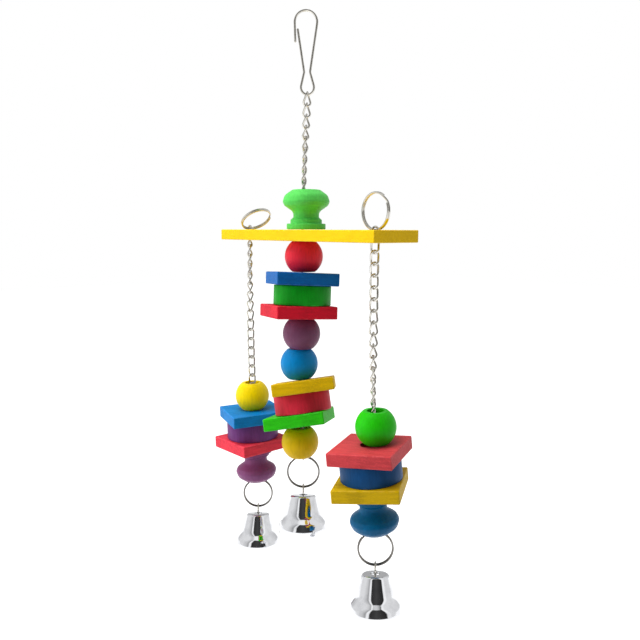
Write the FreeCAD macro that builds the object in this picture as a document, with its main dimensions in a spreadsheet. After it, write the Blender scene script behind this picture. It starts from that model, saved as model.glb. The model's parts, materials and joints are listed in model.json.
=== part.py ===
import FreeCAD, Part
import Sketcher
import math
import os
from FreeCAD import Placement, Rotation, Vector

# Hanging bird swing: a spring-wire hook carries one long twisted-link chain.
# The chain is threaded through a turned knob, a flat crossbar and a stack of
# dyed wooden balls, squares and drums, and ends in a split ring with a bell.
# Two shorter chains hang from split rings that lie on top of the crossbar.
#
# Units are millimetres. +Z is up, +X runs along the crossbar, +Y points back.
# The origin is where the hook's bow touches whatever the toy hangs from.

doc = FreeCAD.newDocument("bird_swing")
sheet = doc.addObject("Spreadsheet::Sheet", "Dimensions")

SIZES = (
    # Wooden pieces
    ("ball_diameter", 20.0, "turned ball, across the middle"),
    ("ball_height", 16.0, "turned ball, over its two flat ends"),
    ("ball_bore", 8.4, "hole through a ball"),
    ("plate_side", 32.6, "square piece, side"),
    ("plate_thickness", 6.6, "square piece, thickness"),
    ("plate_edge", 0.6, "square piece, rounding of the edges"),
    ("drum_diameter", 30.4, "round block, diameter"),
    ("drum_height", 10.3, "round block, height"),
    ("drum_edge", 0.4, "round block, bevel of the rims"),
    ("wood_bore", 9.2, "hole through squares and round blocks"),
    ("knob_height", 20.4, "turned knob, overall height"),
    ("knob_diameter", 24.6, "turned knob, widest point of the cap"),
    ("knob_top", 13.0, "turned knob, flat crown of the cap"),
    ("knob_neck", 13.4, "turned knob, narrowest point"),
    ("knob_collar", 20.3, "turned knob, foot collar"),
    ("knob_step", 16.4, "turned knob, step above the collar"),
    ("knob_bore", 8.4, "hole through the knob"),
    ("knob_collar_height", 3.0, "height of the foot collar"),
    ("knob_step_height", 1.9, "height of the step"),
    ("knob_neck_height", 9.4, "height of the neck's top above the foot"),
    ("knob_waist_height", 14.2, "height of the widest point above the foot"),
    # Crossbar
    ("bar_left", 8.9, "crossbar, left end to the left hole"),
    ("bar_right", 14.1, "crossbar, right end to the right hole"),
    ("bar_width", 28.2, "crossbar, front to back"),
    ("bar_thickness", 5.8, "crossbar, thickness"),
    ("bar_edge", 0.5, "crossbar, rounding of the edges"),
    ("bar_middle_hole", 8.4, "crossbar, middle hole"),
    ("bar_side_hole", 6.5, "crossbar, hole for a side chain"),
    ("side_reach", 53.0, "crossbar, middle hole to each side hole"),
    # Spring hook
    ("hook_wire", 1.15, "hook wire"),
    ("hook_height", 42.2, "hook, overall height"),
    ("hook_bow", 12.35, "hook, width over the top bow"),
    ("hook_bulb", 8.55, "hook, width over the lower loop"),
    ("hook_neck", 3.0, "hook, distance between the wires at the neck"),
    ("hook_neck_depth", 11.7, "hook, neck to the bottom of the lower loop"),
    ("hook_tail_depth", 15.4, "hook, top to the end of the outer tail"),
    ("hook_gate_depth", 9.7, "hook, top to the end of the spring leg"),
    ("hook_gate_reach", 4.15, "hook, middle to the end of the spring leg"),
    ("hook_neck_bend", 2.4, "hook, bend radius at the neck"),
    ("hook_lean", 1.5, "hook, lean in its own plane, degrees"),
    # Chain
    ("link_wire", 1.05, "chain link wire, across corners"),
    ("link_spread", 2.4, "chain link, corner to its middle line"),
    ("link_length", 6.87, "chain link, top corners to bottom corners"),
    ("link_gap", 0.1, "play between two links"),
    ("centre_links", 35.0, "links in the long chain, with the first"),
    ("left_links", 28.0, "links in the left chain"),
    ("right_links", 27.0, "links in the right chain"),
    # Split rings
    ("ring_diameter", 18.0, "split ring, outside diameter"),
    ("ring_wire", 0.9, "split ring wire"),
    ("ring_play", 0.04, "gap between the two coils of a split ring"),
    ("ring_step", 34.0, "part of the turn where the wire steps over, degrees"),
    ("ring_turn", -75.0, "turn of a hanging ring's wire step, degrees"),
    ("ring_seat", 0.45, "play between a ring and the wood on it"),
    ("left_ring_turn", 60.0, "turn of the left retaining ring's wire step, degrees"),
    ("right_ring_turn", 40.0, "turn of the right retaining ring's wire step, degrees"),
    ("left_ring_tilt", 38.0, "slope of the left retaining ring, degrees"),
    # Bells
    ("bell_diameter", 26.9, "bell, over the lip"),
    ("bell_height", 21.0, "bell, overall height"),
    ("bell_crown", 13.4, "bell, crown"),
    ("bell_wall", 0.7, "bell, sheet thickness"),
    ("bell_hole", 4.6, "bell, hole in the crown"),
    ("bell_lip", 3.3, "bell, height of the lip bead"),
    ("bell_lean", 12.0, "bell, lean of the crown to the back, degrees"),
    ("hanger_wire", 0.9, "bell hanger wire"),
    ("hanger_eye", 3.4, "bell hanger, width of the eye over the ring"),
    ("hanger_reach", 5.6, "bell hanger, top wire to the crown"),
    ("hanger_shoulder", 6.4, "bell hanger, width under the crown"),
    ("hanger_depth", 4.2, "bell hanger, crown to its lowest wire"),
    ("clapper_wire", 0.8, "clapper eye and stem wire"),
    ("clapper_eye", 2.6, "clapper eye, across its middle line"),
    ("clapper_ball", 8.6, "clapper ball"),
    ("clapper_drop", 11.0, "clapper, middle of the eye to the ball's middle"),
    ("wire_gap", 0.12, "play between a ring and the wire on it"),
    # Fits and the way the strands hang
    ("stack_gap", 0.1, "play between two pieces in a stack"),
    ("view_turn", 51.16, "bar to the plane the toy faces, degrees"),
    ("centre_bow", -1.9, "sideways bow of the middle strand"),
    ("centre_lean", -0.58, "lean of the middle strand, degrees"),
    ("left_bow", -1.6, "sideways bow of the left strand"),
    ("left_lean", 1.3, "lean of the left strand, degrees"),
    ("right_bow", -1.1, "sideways bow of the right strand"),
    ("right_lean", 0.9, "lean of the right strand, degrees"),
)

for row, (alias, value, note) in enumerate(SIZES, start=1):
    sheet.set("A%d" % row, note)
    sheet.set("B%d" % row, repr(value))
    sheet.setAlias("B%d" % row, alias)
doc.recompute()

VALUE = {alias: float(sheet.get(alias)) for alias, _, _ in SIZES}


class Size:
    """A length with its value and the spreadsheet expression that gives it."""

    def __init__(self, value, text):
        self.value = value
        self.text = text

    def __add__(self, other):
        return Size(self.value + other.value, "(%s + %s)" % (self.text, other.text))

    def __sub__(self, other):
        return Size(self.value - other.value, "(%s - %s)" % (self.text, other.text))

    def __mul__(self, factor):
        return Size(self.value * factor, "(%s * %r)" % (self.text, factor))


def cell(alias):
    return Size(VALUE[alias], "Dimensions." + alias)


ZERO = Size(0.0, "0")


# Helpers for sketches and solids


def origin_plane(body, role):
    for feature in body.Origin.OriginFeatures:
        if feature.Role == role:
            return feature
    raise RuntimeError("no plane " + role)


def new_sketch(body, name, role):
    sketch = body.newObject("Sketcher::SketchObject", name)
    sketch.AttachmentSupport = (origin_plane(body, role), "")
    sketch.MapMode = "FlatFace"
    return sketch


def constrain(sketch, pairs):
    """Adds constraints together, and binds those that come with a size to the sheet."""
    first = sketch.ConstraintCount
    sketch.addConstraint([constraint for constraint, _ in pairs])
    for index, (_, size) in enumerate(pairs, start=first):
        if size is not None:
            sketch.setExpression("Constraints[%d]" % index, size.text)


def pin_point(edge, end, across, along):
    """Holds one end of an edge at two signed distances from the sketch's origin."""
    pairs = []
    for kind, size, axis in (("DistanceX", across, -2), ("DistanceY", along, -1)):
        if abs(size.value) < 1e-9:
            pairs.append((Sketcher.Constraint("PointOnObject", edge, end, axis), None))
        else:
            pairs.append((Sketcher.Constraint(kind, -1, 1, edge, end, size.value), size))
    return pairs


def closed_outline(sketch, corners, bulges=None):
    """Closes an outline through the corners; a bulge makes that side a round one.

    A bulge is the signed height of the arc over its chord, to the left of it.
    """
    bulges = bulges or {}
    count = len(corners)
    points = [Vector(x.value, y.value, 0) for x, y in corners]
    edges = []
    ends = []
    for i in range(count):
        start, end = points[i], points[(i + 1) % count]
        if i in bulges:
            chord = end - start
            side = Vector(-chord.y, chord.x, 0).normalize()
            edge = Part.Arc(start, (start + end) * 0.5 + side * bulges[i], end)
            backwards = bulges[i] > 0
        else:
            edge = Part.LineSegment(start, end)
            backwards = False
        edges.append(edge)
        ends.append((2, 1) if backwards else (1, 2))
    sketch.addGeometry(edges, False)
    pairs = []
    for i, (x, y) in enumerate(corners):
        after = (i + 1) % count
        joint = Sketcher.Constraint("Coincident", i, ends[i][1], after, ends[after][0])
        pairs.append((joint, None))
        pairs += pin_point(i, ends[i][0], x, y)
    for i, bulge in bulges.items():
        half = (points[(i + 1) % count] - points[i]).Length / 2
        radius = (half**2 + bulge**2) / (2 * abs(bulge))
        pairs.append((Sketcher.Constraint("Radius", i, radius), None))
    constrain(sketch, pairs)


def add_circle(sketch, across, along, diameter):
    index = sketch.GeometryCount
    centre = Vector(across.value, along.value, 0)
    sketch.addGeometry(Part.Circle(centre, Vector(0, 0, 1), diameter.value / 2), False)
    width = (Sketcher.Constraint("Diameter", index, diameter.value), diameter)
    constrain(sketch, [*pin_point(index, 3, across, along), width])


def new_body(label):
    body = doc.addObject("PartDesign::Body", label)
    body.Label = label
    return body


def pad(body, sketch, height):
    feature = body.newObject("PartDesign::Pad", body.Name + "_pad")
    feature.Profile = sketch
    feature.setExpression("Length", height.text)
    return feature


def revolve(body, sketch):
    feature = body.newObject("PartDesign::Revolution", body.Name + "_turned")
    feature.Profile = sketch
    feature.ReferenceAxis = (sketch, ["V_Axis"])
    feature.Angle = 360
    return feature


def soften(body, kind, base, edges, size):
    feature = body.newObject("PartDesign::" + kind, body.Name + "_edges")
    feature.Base = (base, edges)
    feature.setExpression("Radius" if kind == "Fillet" else "Size", size.text)
    return feature


def rim_edges(shape, inner_radius):
    """Names of every edge that isn't on the bore and isn't a seam."""
    names = []
    for number, edge in enumerate(shape.Edges, start=1):
        on_bore = hasattr(edge.Curve, "Radius") and edge.Curve.Radius <= inner_radius + 0.01
        seam = any(edge.isSeam(face) for face in shape.Faces)
        if not on_bore and not seam:
            names.append("Edge%d" % number)
    return names


# Wooden pieces, each built about its own middle with its hole along Z


def plate(label):
    """Square piece with a hole in its middle and slightly rounded edges."""
    body = new_body(label)
    sketch = new_sketch(body, label + "_square", "XY_Plane")
    half = cell("plate_side") * 0.5
    less = half * -1.0
    closed_outline(sketch, ((less, less), (half, less), (half, half), (less, half)))
    add_circle(sketch, ZERO, ZERO, cell("wood_bore"))
    block = pad(body, sketch, cell("plate_thickness"))
    doc.recompute()
    names = rim_edges(block.Shape, VALUE["wood_bore"] / 2)
    soften(body, "Fillet", block, names, cell("plate_edge"))
    return body


def drum(label):
    """Round block with bevelled rims."""
    body = new_body(label)
    sketch = new_sketch(body, label + "_disc", "XY_Plane")
    add_circle(sketch, ZERO, ZERO, cell("drum_diameter"))
    add_circle(sketch, ZERO, ZERO, cell("wood_bore"))
    block = pad(body, sketch, cell("drum_height"))
    doc.recompute()
    rims = [
        "Edge%d" % number
        for number, edge in enumerate(block.Shape.Edges, start=1)
        if hasattr(edge.Curve, "Radius")
        and abs(edge.Curve.Radius - VALUE["drum_diameter"] / 2) < 0.01
    ]
    soften(body, "Chamfer", block, rims, cell("drum_edge"))
    return body


def ball(label):
    """Turned ball with two flat ends, bored through."""
    flat_angle = math.degrees(math.asin(VALUE["ball_height"] / VALUE["ball_diameter"]))
    turned = doc.addObject("Part::Sphere", label + "_turned")
    turned.setExpression("Radius", (cell("ball_diameter") * 0.5).text)
    angle_text = "asin(Dimensions.ball_height / Dimensions.ball_diameter)"
    turned.Angle1 = -flat_angle
    turned.Angle2 = flat_angle
    turned.setExpression("Angle1", "-" + angle_text)
    turned.setExpression("Angle2", angle_text)
    drill = doc.addObject("Part::Cylinder", label + "_drill")
    drill.setExpression("Radius", (cell("ball_bore") * 0.5).text)
    drill.setExpression("Height", cell("ball_diameter").text)
    drill.setExpression("Placement.Base.z", (cell("ball_diameter") * -0.5).text)
    bored = doc.addObject("Part::Cut", label)
    bored.Label = label
    bored.Base = turned
    bored.Tool = drill
    return bored


def knob(label):
    """Turned drawer-knob shape: foot collar, step, neck and a domed cap."""
    body = new_body(label)
    sketch = new_sketch(body, label + "_profile", "XZ_Plane")
    bore = cell("knob_bore") * 0.5
    collar = cell("knob_collar") * 0.5
    step = cell("knob_step") * 0.5
    neck = cell("knob_neck") * 0.5
    cap = cell("knob_diameter") * 0.5
    crown = cell("knob_top") * 0.5
    collar_top = cell("knob_collar_height")
    step_top = collar_top + cell("knob_step_height")
    neck_foot = step_top + cell("knob_step_height") * 0.7
    neck_top = cell("knob_neck_height")
    waist = cell("knob_waist_height")
    top = cell("knob_height")
    corners = (
        (bore, ZERO),
        (collar, ZERO),
        (collar, collar_top),
        (step, collar_top),
        (step, step_top),
        (neck, neck_foot),
        (neck, neck_top),
        (cap, waist),
        (crown, top),
        (bore, top),
    )
    cap_drop = math.hypot(VALUE["knob_diameter"] - VALUE["knob_top"], 2 * (top - waist).value) / 2
    flare = math.hypot(VALUE["knob_diameter"] - VALUE["knob_neck"], 2 * (waist - neck_top).value) / 2
    closed_outline(
        sketch,
        corners,
        {4: VALUE["knob_step_height"] * 0.25, 6: -flare * 0.12, 7: -cap_drop * 0.2},
    )
    revolve(body, sketch)
    return body


def crossbar(label):
    """Flat bar with a hole in the middle and one for each side chain."""
    body = new_body(label)
    sketch = new_sketch(body, label + "_outline", "XY_Plane")
    reach = cell("side_reach")
    left = (reach + cell("bar_left")) * -1.0
    right = reach + cell("bar_right")
    back = cell("bar_width") * 0.5
    front = back * -1.0
    closed_outline(sketch, ((left, front), (right, front), (right, back), (left, back)))
    add_circle(sketch, ZERO, ZERO, cell("bar_middle_hole"))
    add_circle(sketch, reach * -1.0, ZERO, cell("bar_side_hole"))
    add_circle(sketch, reach, ZERO, cell("bar_side_hole"))
    block = pad(body, sketch, cell("bar_thickness"))
    doc.recompute()
    names = rim_edges(block.Shape, VALUE["bar_middle_hole"] / 2)
    soften(body, "Fillet", block, names, cell("bar_edge"))
    return body


# Bells


def bell_shell(label):
    """Sheet bell with an open mouth: crown, flaring side and a rolled lip.

    It is built mouth down with the top of its crown at Z = 0.
    """
    body = new_body(label)
    sketch = new_sketch(body, label + "_profile", "XZ_Plane")
    wall = cell("bell_wall")
    hole = cell("bell_hole") * 0.5
    crown = cell("bell_crown") * 0.5
    lip = cell("bell_diameter") * 0.5
    height = cell("bell_height")
    shoulder = crown - wall * 1.2
    shoulder_drop = wall * -2.0
    flare = lip - wall * 1.4
    flare_drop = (height - cell("bell_lip") - wall * 1.6) * -1.0
    lip_drop = (height - cell("bell_lip") * 0.72) * -1.0
    mouth = lip - wall * 1.6
    floor = height * -1.0
    corners = (
        (hole, ZERO),
        (hole, wall * -1.0),
        (shoulder - wall * 0.4, wall * -1.0),
        (crown - wall, shoulder_drop),
        (flare - wall, flare_drop),
        (lip - wall, lip_drop),
        (mouth - wall * 0.9, floor),
        (mouth, floor),
        (lip, lip_drop),
        (flare, flare_drop),
        (crown, shoulder_drop),
        (shoulder, ZERO),
    )
    sag = VALUE["bell_height"] * 0.045
    bead = VALUE["bell_wall"] * 0.4
    closed_outline(
        sketch,
        corners,
        {3: sag, 5: -bead, 7: bead, 9: -sag, 10: VALUE["bell_wall"] * 0.3},
    )
    revolve(body, sketch)
    return body


# Wires


def rounded_wire(points, radii):
    """Wire through the points, with an arc of its own radius at each inner one."""
    edges = []
    last = points[0]
    for i in range(1, len(points) - 1):
        corner = points[i]
        to_before = (points[i - 1] - corner).normalize()
        to_after = (points[i + 1] - corner).normalize()
        half = to_before.getAngle(to_after) / 2
        setback = radii[i - 1] / math.tan(half)
        start = corner + to_before * setback
        end = corner + to_after * setback
        centre = corner + (to_before + to_after).normalize() * (radii[i - 1] / math.sin(half))
        middle = centre + (corner - centre).normalize() * radii[i - 1]
        if (start - last).Length > 1e-6:
            edges.append(Part.LineSegment(last, start).toShape())
        edges.append(Part.Arc(start, middle, end).toShape())
        last = end
    if (points[-1] - last).Length > 1e-6:
        edges.append(Part.LineSegment(last, points[-1]).toShape())
    return Part.Wire(edges)


def round_bar(wire, diameter):
    """Round wire of one diameter along a path."""
    first = wire.OrderedEdges[0]
    tangent = first.tangentAt(first.FirstParameter)
    start = first.valueAt(first.FirstParameter)
    section = Part.Wire([Part.makeCircle(diameter / 2, start, tangent)])
    return wire.makePipeShell([section], True, True)


def tangent_angle(radius, across, down):
    """Slope from the vertical of a line that passes (across, down) and touches a circle."""
    reach = math.hypot(across, down)
    return math.asin(radius / reach) - math.atan(across / down)


def hook_shape():
    """One wire: tail, bow, straight leg, neck, lower loop, neck and spring leg.

    It lies in the XZ plane with the underside of the bow's top at the origin.
    """
    wire = VALUE["hook_wire"]
    top = wire / 2
    bow = (VALUE["hook_bow"] - wire) / 2
    bulb = (VALUE["hook_bulb"] - wire) / 2
    neck = VALUE["hook_neck"] / 2
    crest = wire
    floor = crest - VALUE["hook_height"] + wire / 2
    neck_z = crest - VALUE["hook_height"] + VALUE["hook_neck_depth"]
    leg = tangent_angle(bow, neck, (top - bow) - neck_z)
    flank = tangent_angle(bulb, neck, neck_z - (floor + bulb))
    leg_corner = bow * math.tan((math.pi / 2 + leg) / 2)
    loop_corner = bulb * math.tan((math.pi / 2 + flank) / 2)
    points = [
        Vector(-bow, 0, crest - VALUE["hook_tail_depth"]),
        Vector(-bow, 0, top),
        Vector(leg_corner, 0, top),
        Vector(neck, 0, neck_z),
        Vector(loop_corner, 0, floor),
        Vector(-loop_corner, 0, floor),
        Vector(-neck, 0, neck_z),
        Vector(-VALUE["hook_gate_reach"], 0, crest - VALUE["hook_gate_depth"]),
    ]
    bend = VALUE["hook_neck_bend"]
    return round_bar(rounded_wire(points, (bow, bow, bend, bulb, bulb, bend)), wire)


def split_ring_shape():
    """Two coils side by side with one step where the wire crosses over.

    The ring's axis is Z and its middle is the origin. The step is on the +X side.
    """
    wire = VALUE["ring_wire"]
    radius = (VALUE["ring_diameter"] - wire) / 2
    apart = wire + VALUE["ring_play"]
    step = math.radians(VALUE["ring_step"])

    def at(angle, height):
        return Vector(radius * math.cos(angle), radius * math.sin(angle), height)

    lower = Part.Arc(at(step / 2, -apart / 2), at(math.pi, -apart / 2), at(-step / 2, -apart / 2))
    upper = Part.Arc(at(step / 2, apart / 2), at(math.pi, apart / 2), at(-step / 2, apart / 2))
    crossing = Part.BSplineCurve()
    samples = 7
    points = []
    for k in range(samples):
        share = k / (samples - 1)
        rise = apart * (share - math.sin(2 * math.pi * share) / (2 * math.pi))
        points.append(at(-step / 2 + step * share, rise - apart / 2))
    ends = [Vector(-p.y, p.x, 0) for p in (points[0], points[-1])]
    crossing.interpolate(Points=points, InitialTangent=ends[0], FinalTangent=ends[1])
    coils = []
    for edge in (lower.toShape(), crossing.toShape(), upper.toShape()):
        coils.append(round_bar(Part.Wire([edge]), wire))
    joined = coils[0].fuse(coils[1:])
    return joined.Solids[0]


def slide(ring, along, point, normal):
    """Section moved along its wire onto the plane that meets the next run."""
    return [q + along * ((point - q).dot(normal) / along.dot(normal)) for q in ring]


def level_section(start, end, diameter, sides):
    """Many-sided section at the middle of a level run, with two of its sides level."""
    along = (end - start).normalize()
    across = along.cross(Vector(0, 0, 1)).normalize()
    ring = []
    for k in range(sides):
        angle = 2 * math.pi * (k + 0.5) / sides
        spoke = Vector(0, 0, 1) * math.cos(angle) + across * math.sin(angle)
        ring.append((start + end) * 0.5 + spoke * (diameter / 2))
    return ring


def chain_link():
    """Twisted link, the distance from one link to the next, and its bottom wire's height.

    A skew rectangle of wire with round corners. The top wire passes the origin
    at 45 degrees to X, and the bottom wire runs square to it. Two sections
    stand on each corner's arc, so the bearing parts of the wire are straight.
    """
    spread = VALUE["link_spread"]
    length = VALUE["link_length"]
    side = spread * math.cos(math.radians(45))
    sides = 6
    corners = [
        Vector(side, side, 0),
        Vector(side, -side, -length),
        Vector(-side, side, -length),
        Vector(-side, -side, 0),
    ]
    points = []
    for i, corner in enumerate(corners):
        before = (corners[i - 1] - corner).normalize()
        after = (corners[(i + 1) % 4] - corner).normalize()
        half = before.getAngle(after) / 2
        centre = corner + (before + after).normalize() * (spread / math.cos(half))
        crest = centre + (corner - centre).normalize() * (spread * math.tan(half))
        arc = Part.Arc(corner + before * spread, crest, corner + after * spread)
        for share in (0.25, 0.75):
            where = arc.FirstParameter + (arc.LastParameter - arc.FirstParameter) * share
            points.append(arc.value(where))
    count = len(points)
    runs = [(points[(i + 1) % count] - points[i]).normalize() for i in range(count)]
    planes = [(runs[i - 1] + runs[i]).normalize() for i in range(count)]
    rings = [None] * count
    for first, last in ((count - 1, 0), (3, 4)):
        level = level_section(points[first], points[last], VALUE["link_wire"], sides)
        rings[last] = slide(level, runs[first], points[last], planes[last])
        rings[last + 1] = slide(rings[last], runs[last], points[last + 1], planes[last + 1])
        rings[first] = slide(level, runs[first], points[first], planes[first])
        rings[first - 1] = slide(rings[first], runs[first - 1], points[first - 1], planes[first - 1])
    faces = []
    for i, ring in enumerate(rings):
        other = rings[(i + 1) % count]
        along = runs[i]
        arrived = slide(ring, along, points[(i + 1) % count], planes[(i + 1) % count])
        turn = min(
            range(sides),
            key=lambda n: max((arrived[k] - other[(k + n) % sides]).Length for k in range(sides)),
        )
        twisted = max((arrived[k] - other[(k + turn) % sides]).Length for k in range(sides)) > 1e-6
        for k in range(sides):
            a, b = ring[k], ring[(k + 1) % sides]
            c, d = other[(k + 1 + turn) % sides], other[(k + turn) % sides]
            for outline in ((a, b, c), (a, c, d)) if twisted else ((a, b, c, d),):
                faces.append(Part.Face(Part.makePolygon([*outline, outline[0]])))
    solid = Part.Solid(Part.Shell(faces))
    if solid.Volume < 0:
        solid.reverse()
    under_top = min(corner.z for corner in rings[0])
    over_bottom = max(corner.z for corner in rings[4])
    solid.translate(Vector(0, 0, -points[0].z))
    bottom = points[4].z - points[0].z
    return solid, under_top - over_bottom - VALUE["link_gap"], bottom


LINK, LINK_PITCH, LINK_BOTTOM = chain_link()
# Directions of the plane that the toy faces: its right hand and away from the viewer
FACING = math.radians(VALUE["view_turn"])
RIGHT = Vector(math.cos(FACING), math.sin(FACING), 0)
AWAY = Vector(-RIGHT.y, RIGHT.x, 0)
UP = Vector(0, 0, 1)
DOWN = UP * -1
NOWHERE = Vector(0, 0, 0)


def azimuth(direction):
    return math.degrees(math.atan2(direction.y, direction.x))


def turned(axis, degrees):
    """Rotation that stands a piece on an axis, then turns it about that axis."""
    return Rotation(UP, axis) * Rotation(UP, degrees)


def moved(shape, placement):
    """Copy of a shape at another place, from a shape that is still about its own origin."""
    copy = shape.copy()
    copy.Placement = placement.multiply(copy.Placement)
    return copy


def lower_until(shape, rotation, start, rest, gap, way=DOWN):
    """Where a turned shape comes to rest, let down from a point onto another shape."""
    position = Vector(start)
    for _ in range(40):
        distance = moved(shape, Placement(position, rotation)).distToShape(rest)[0]
        if distance - gap < 0.002:
            break
        position += way * (distance - gap)
    return position


PARTS = {}
PIVOTS = {}


def settle(item, placement):
    """Gives a finished piece its place, and keeps it for the checks and the export."""
    item.Placement = placement
    PARTS[item.Label] = item
    return item


def wire_part(label, shape, placement=None):
    item = doc.addObject("Part::Feature", label)
    item.Label = label
    item.Shape = shape
    return settle(item, placement or Placement())


def twist_at(twists, number):
    """Turn of a link between the two named links that it hangs between."""
    for (first, start), (last, end) in zip(twists, twists[1:]):
        if number <= last:
            return start + (end - start) * (number - first) / (last - first)
    return twists[-1][1]


class Strand:
    """A chain that hangs from a point, with a slight lean and a bow to one side.

    Its twists are pairs of a link's number and that link's turn, and the links
    between two pairs share the turn out evenly.
    """

    def __init__(self, plumb, top, count, twists, lean, bow):
        self.plumb = plumb
        self.tops = []
        self.placements = []
        place = Vector(top)
        length = count * LINK_PITCH
        for k in range(count):
            share = (k + 0.5) / count
            curve = bow * math.pi / length * math.cos(math.pi * share)
            along = (RIGHT * (math.tan(math.radians(lean)) + curve) - UP).normalize()
            turn = twist_at(twists, k)
            self.tops.append(Vector(place))
            self.placements.append(Placement(place, turned(along * -1, turn)))
            place += along * LINK_PITCH
        self.end = self.placements[-1].multVec(Vector(0, 0, LINK_BOTTOM))

    def links(self, first, last):
        return Part.makeCompound([moved(LINK, self.placements[k]) for k in range(first, last)])

    def at(self, height):
        """Point of the chain's middle line at a height."""
        above, below = self.tops[0], self.end
        for upper, lower in zip(self.tops, self.tops[1:] + [self.end]):
            if lower.z <= height:
                above, below = upper, lower
                break
        share = (above.z - height) / (above.z - below.z)
        return above + (below - above) * share

    def top_wire(self, k):
        """Middle and direction of a link's top wire."""
        turn = self.placements[k].Rotation
        return self.tops[k], turn.multVec(Vector(1, 1, 0)).normalize()

    def bottom_wire(self, k):
        """Middle and direction of a link's bottom wire."""
        turn = self.placements[k].Rotation
        middle = self.placements[k].multVec(Vector(0, 0, LINK_BOTTOM))
        return middle, turn.multVec(Vector(-1, 1, 0)).normalize()


LINK_REACH = max(math.hypot(v.X, v.Y) for v in LINK.Vertexes)


def stack(strand, ring, pieces):
    """Threads pieces on a strand, upwards from the one that sits on the ring.

    Each entry is a piece, its height, its bore, its turn towards the viewer about
    its axis, its slope up to the right, its slope down to the back, its place to
    the right of the plumb line, and whether it is upside down. A piece can slip to
    the side only as far as its bore lets it.
    """
    doc.recompute()
    beneath = ring.Shape
    gap = VALUE["ring_seat"]
    for item, height, bore, turn, rise, fall, aside, inverted in pieces:
        slope_right = RIGHT * math.sin(math.radians(rise))
        slope_back = AWAY * math.sin(math.radians(fall))
        axis = (UP - slope_right + slope_back).normalize()
        tilt = axis.getAngle(UP)
        play = (bore / 2 - LINK_REACH - VALUE["wire_gap"]) / math.cos(tilt) - height / 2 * math.tan(tilt)
        rotation = turned(axis, VALUE["view_turn"] - turn)
        if inverted:
            rotation = rotation * Rotation(Vector(1, 0, 0), 180)
        half = NOWHERE if item.TypeId == "Part::Cut" else Vector(0, 0, height / 2)
        middle = rotation.multVec(half)
        clear = beneath.BoundBox.ZMax + height + VALUE["plate_side"] * math.sin(tilt)
        level = clear - height / 2
        for _ in range(2):
            chain = strand.at(level)
            slip = aside - (chain - strand.plumb).dot(RIGHT)
            start = chain + RIGHT * max(-play, min(play, slip))
            start.z = clear
            rest = lower_until(item.Shape, rotation, start - middle, beneath, gap)
            level = (rest + middle).z
        settle(item, Placement(rest, rotation))
        PIVOTS[item.Label] = (rest + middle, axis)
        beneath = item.Shape
        gap = VALUE["stack_gap"]
    return beneath


def ring_below(label, strand, last):
    """Split ring that hangs from the last link, facing the viewer."""
    wire = (VALUE["ring_wire"] + VALUE["link_wire"]) / 2
    radius = (VALUE["ring_diameter"] - VALUE["ring_wire"]) / 2
    hold, _ = strand.bottom_wire(last)
    facing = Rotation(UP, AWAY) * Rotation(UP, VALUE["ring_turn"])
    shape = SPLIT_RING
    start = hold + UP * (wire + VALUE["ring_wire"] / 2 - radius)
    rest = lower_until(shape, facing, start, strand.links(last, last + 1), VALUE["wire_gap"])
    item = wire_part(label, shape, Placement(rest, facing))
    PIVOTS[label] = (rest + UP * radius, RIGHT)
    return item


def hanger_shape():
    """Keyhole loop: an eye over the ring, a neck through the crown and wide shoulders.

    It stands in the YZ plane with the middle of its top wire at the origin.
    """
    wire = VALUE["hanger_wire"]
    eye = VALUE["hanger_eye"] / 2
    neck = wire * 0.85
    crown = VALUE["hanger_reach"]
    under = crown + VALUE["bell_wall"] + wire / 2 + VALUE["stack_gap"]
    shoulder = VALUE["hanger_shoulder"] / 2
    floor = crown + VALUE["hanger_depth"]
    points = [
        Vector(0, 0, 0),
        Vector(0, eye, 0),
        Vector(0, eye, -eye * 2),
        Vector(0, neck, wire - crown),
        Vector(0, neck, -under),
        Vector(0, shoulder, -under),
        Vector(0, shoulder, -floor),
        Vector(0, 0, -floor),
    ]
    radii = (eye, wire, wire * 0.9, wire * 0.7, wire, wire * 2)
    half = round_bar(rounded_wire(points, radii), wire)
    other = half.mirror(NOWHERE, Vector(0, 1, 0))
    return half.fuse(other).removeSplitter(), floor


def clapper(label):
    """Wire eye with a short stem and a solid ball."""
    wire = cell("clapper_wire")
    eye = doc.addObject("Part::Torus", label + "_eye")
    eye.setExpression("Radius1", (cell("clapper_eye") * 0.5).text)
    eye.setExpression("Radius2", (wire * 0.5).text)
    eye.Placement = Placement(NOWHERE, Rotation(Vector(1, 0, 0), 90))
    stem = doc.addObject("Part::Cylinder", label + "_stem")
    stem.setExpression("Radius", (wire * 0.5).text)
    stem.setExpression("Height", (cell("clapper_drop") - cell("clapper_eye") * 0.5).text)
    stem.setExpression("Placement.Base.z", (cell("clapper_drop") * -1.0).text)
    weight = doc.addObject("Part::Sphere", label + "_ball")
    weight.setExpression("Radius", (cell("clapper_ball") * 0.5).text)
    weight.setExpression("Placement.Base.z", (cell("clapper_drop") * -1.0).text)
    whole = doc.addObject("Part::MultiFuse", label)
    whole.Label = label
    whole.Shapes = [eye, stem, weight]
    return whole


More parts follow.
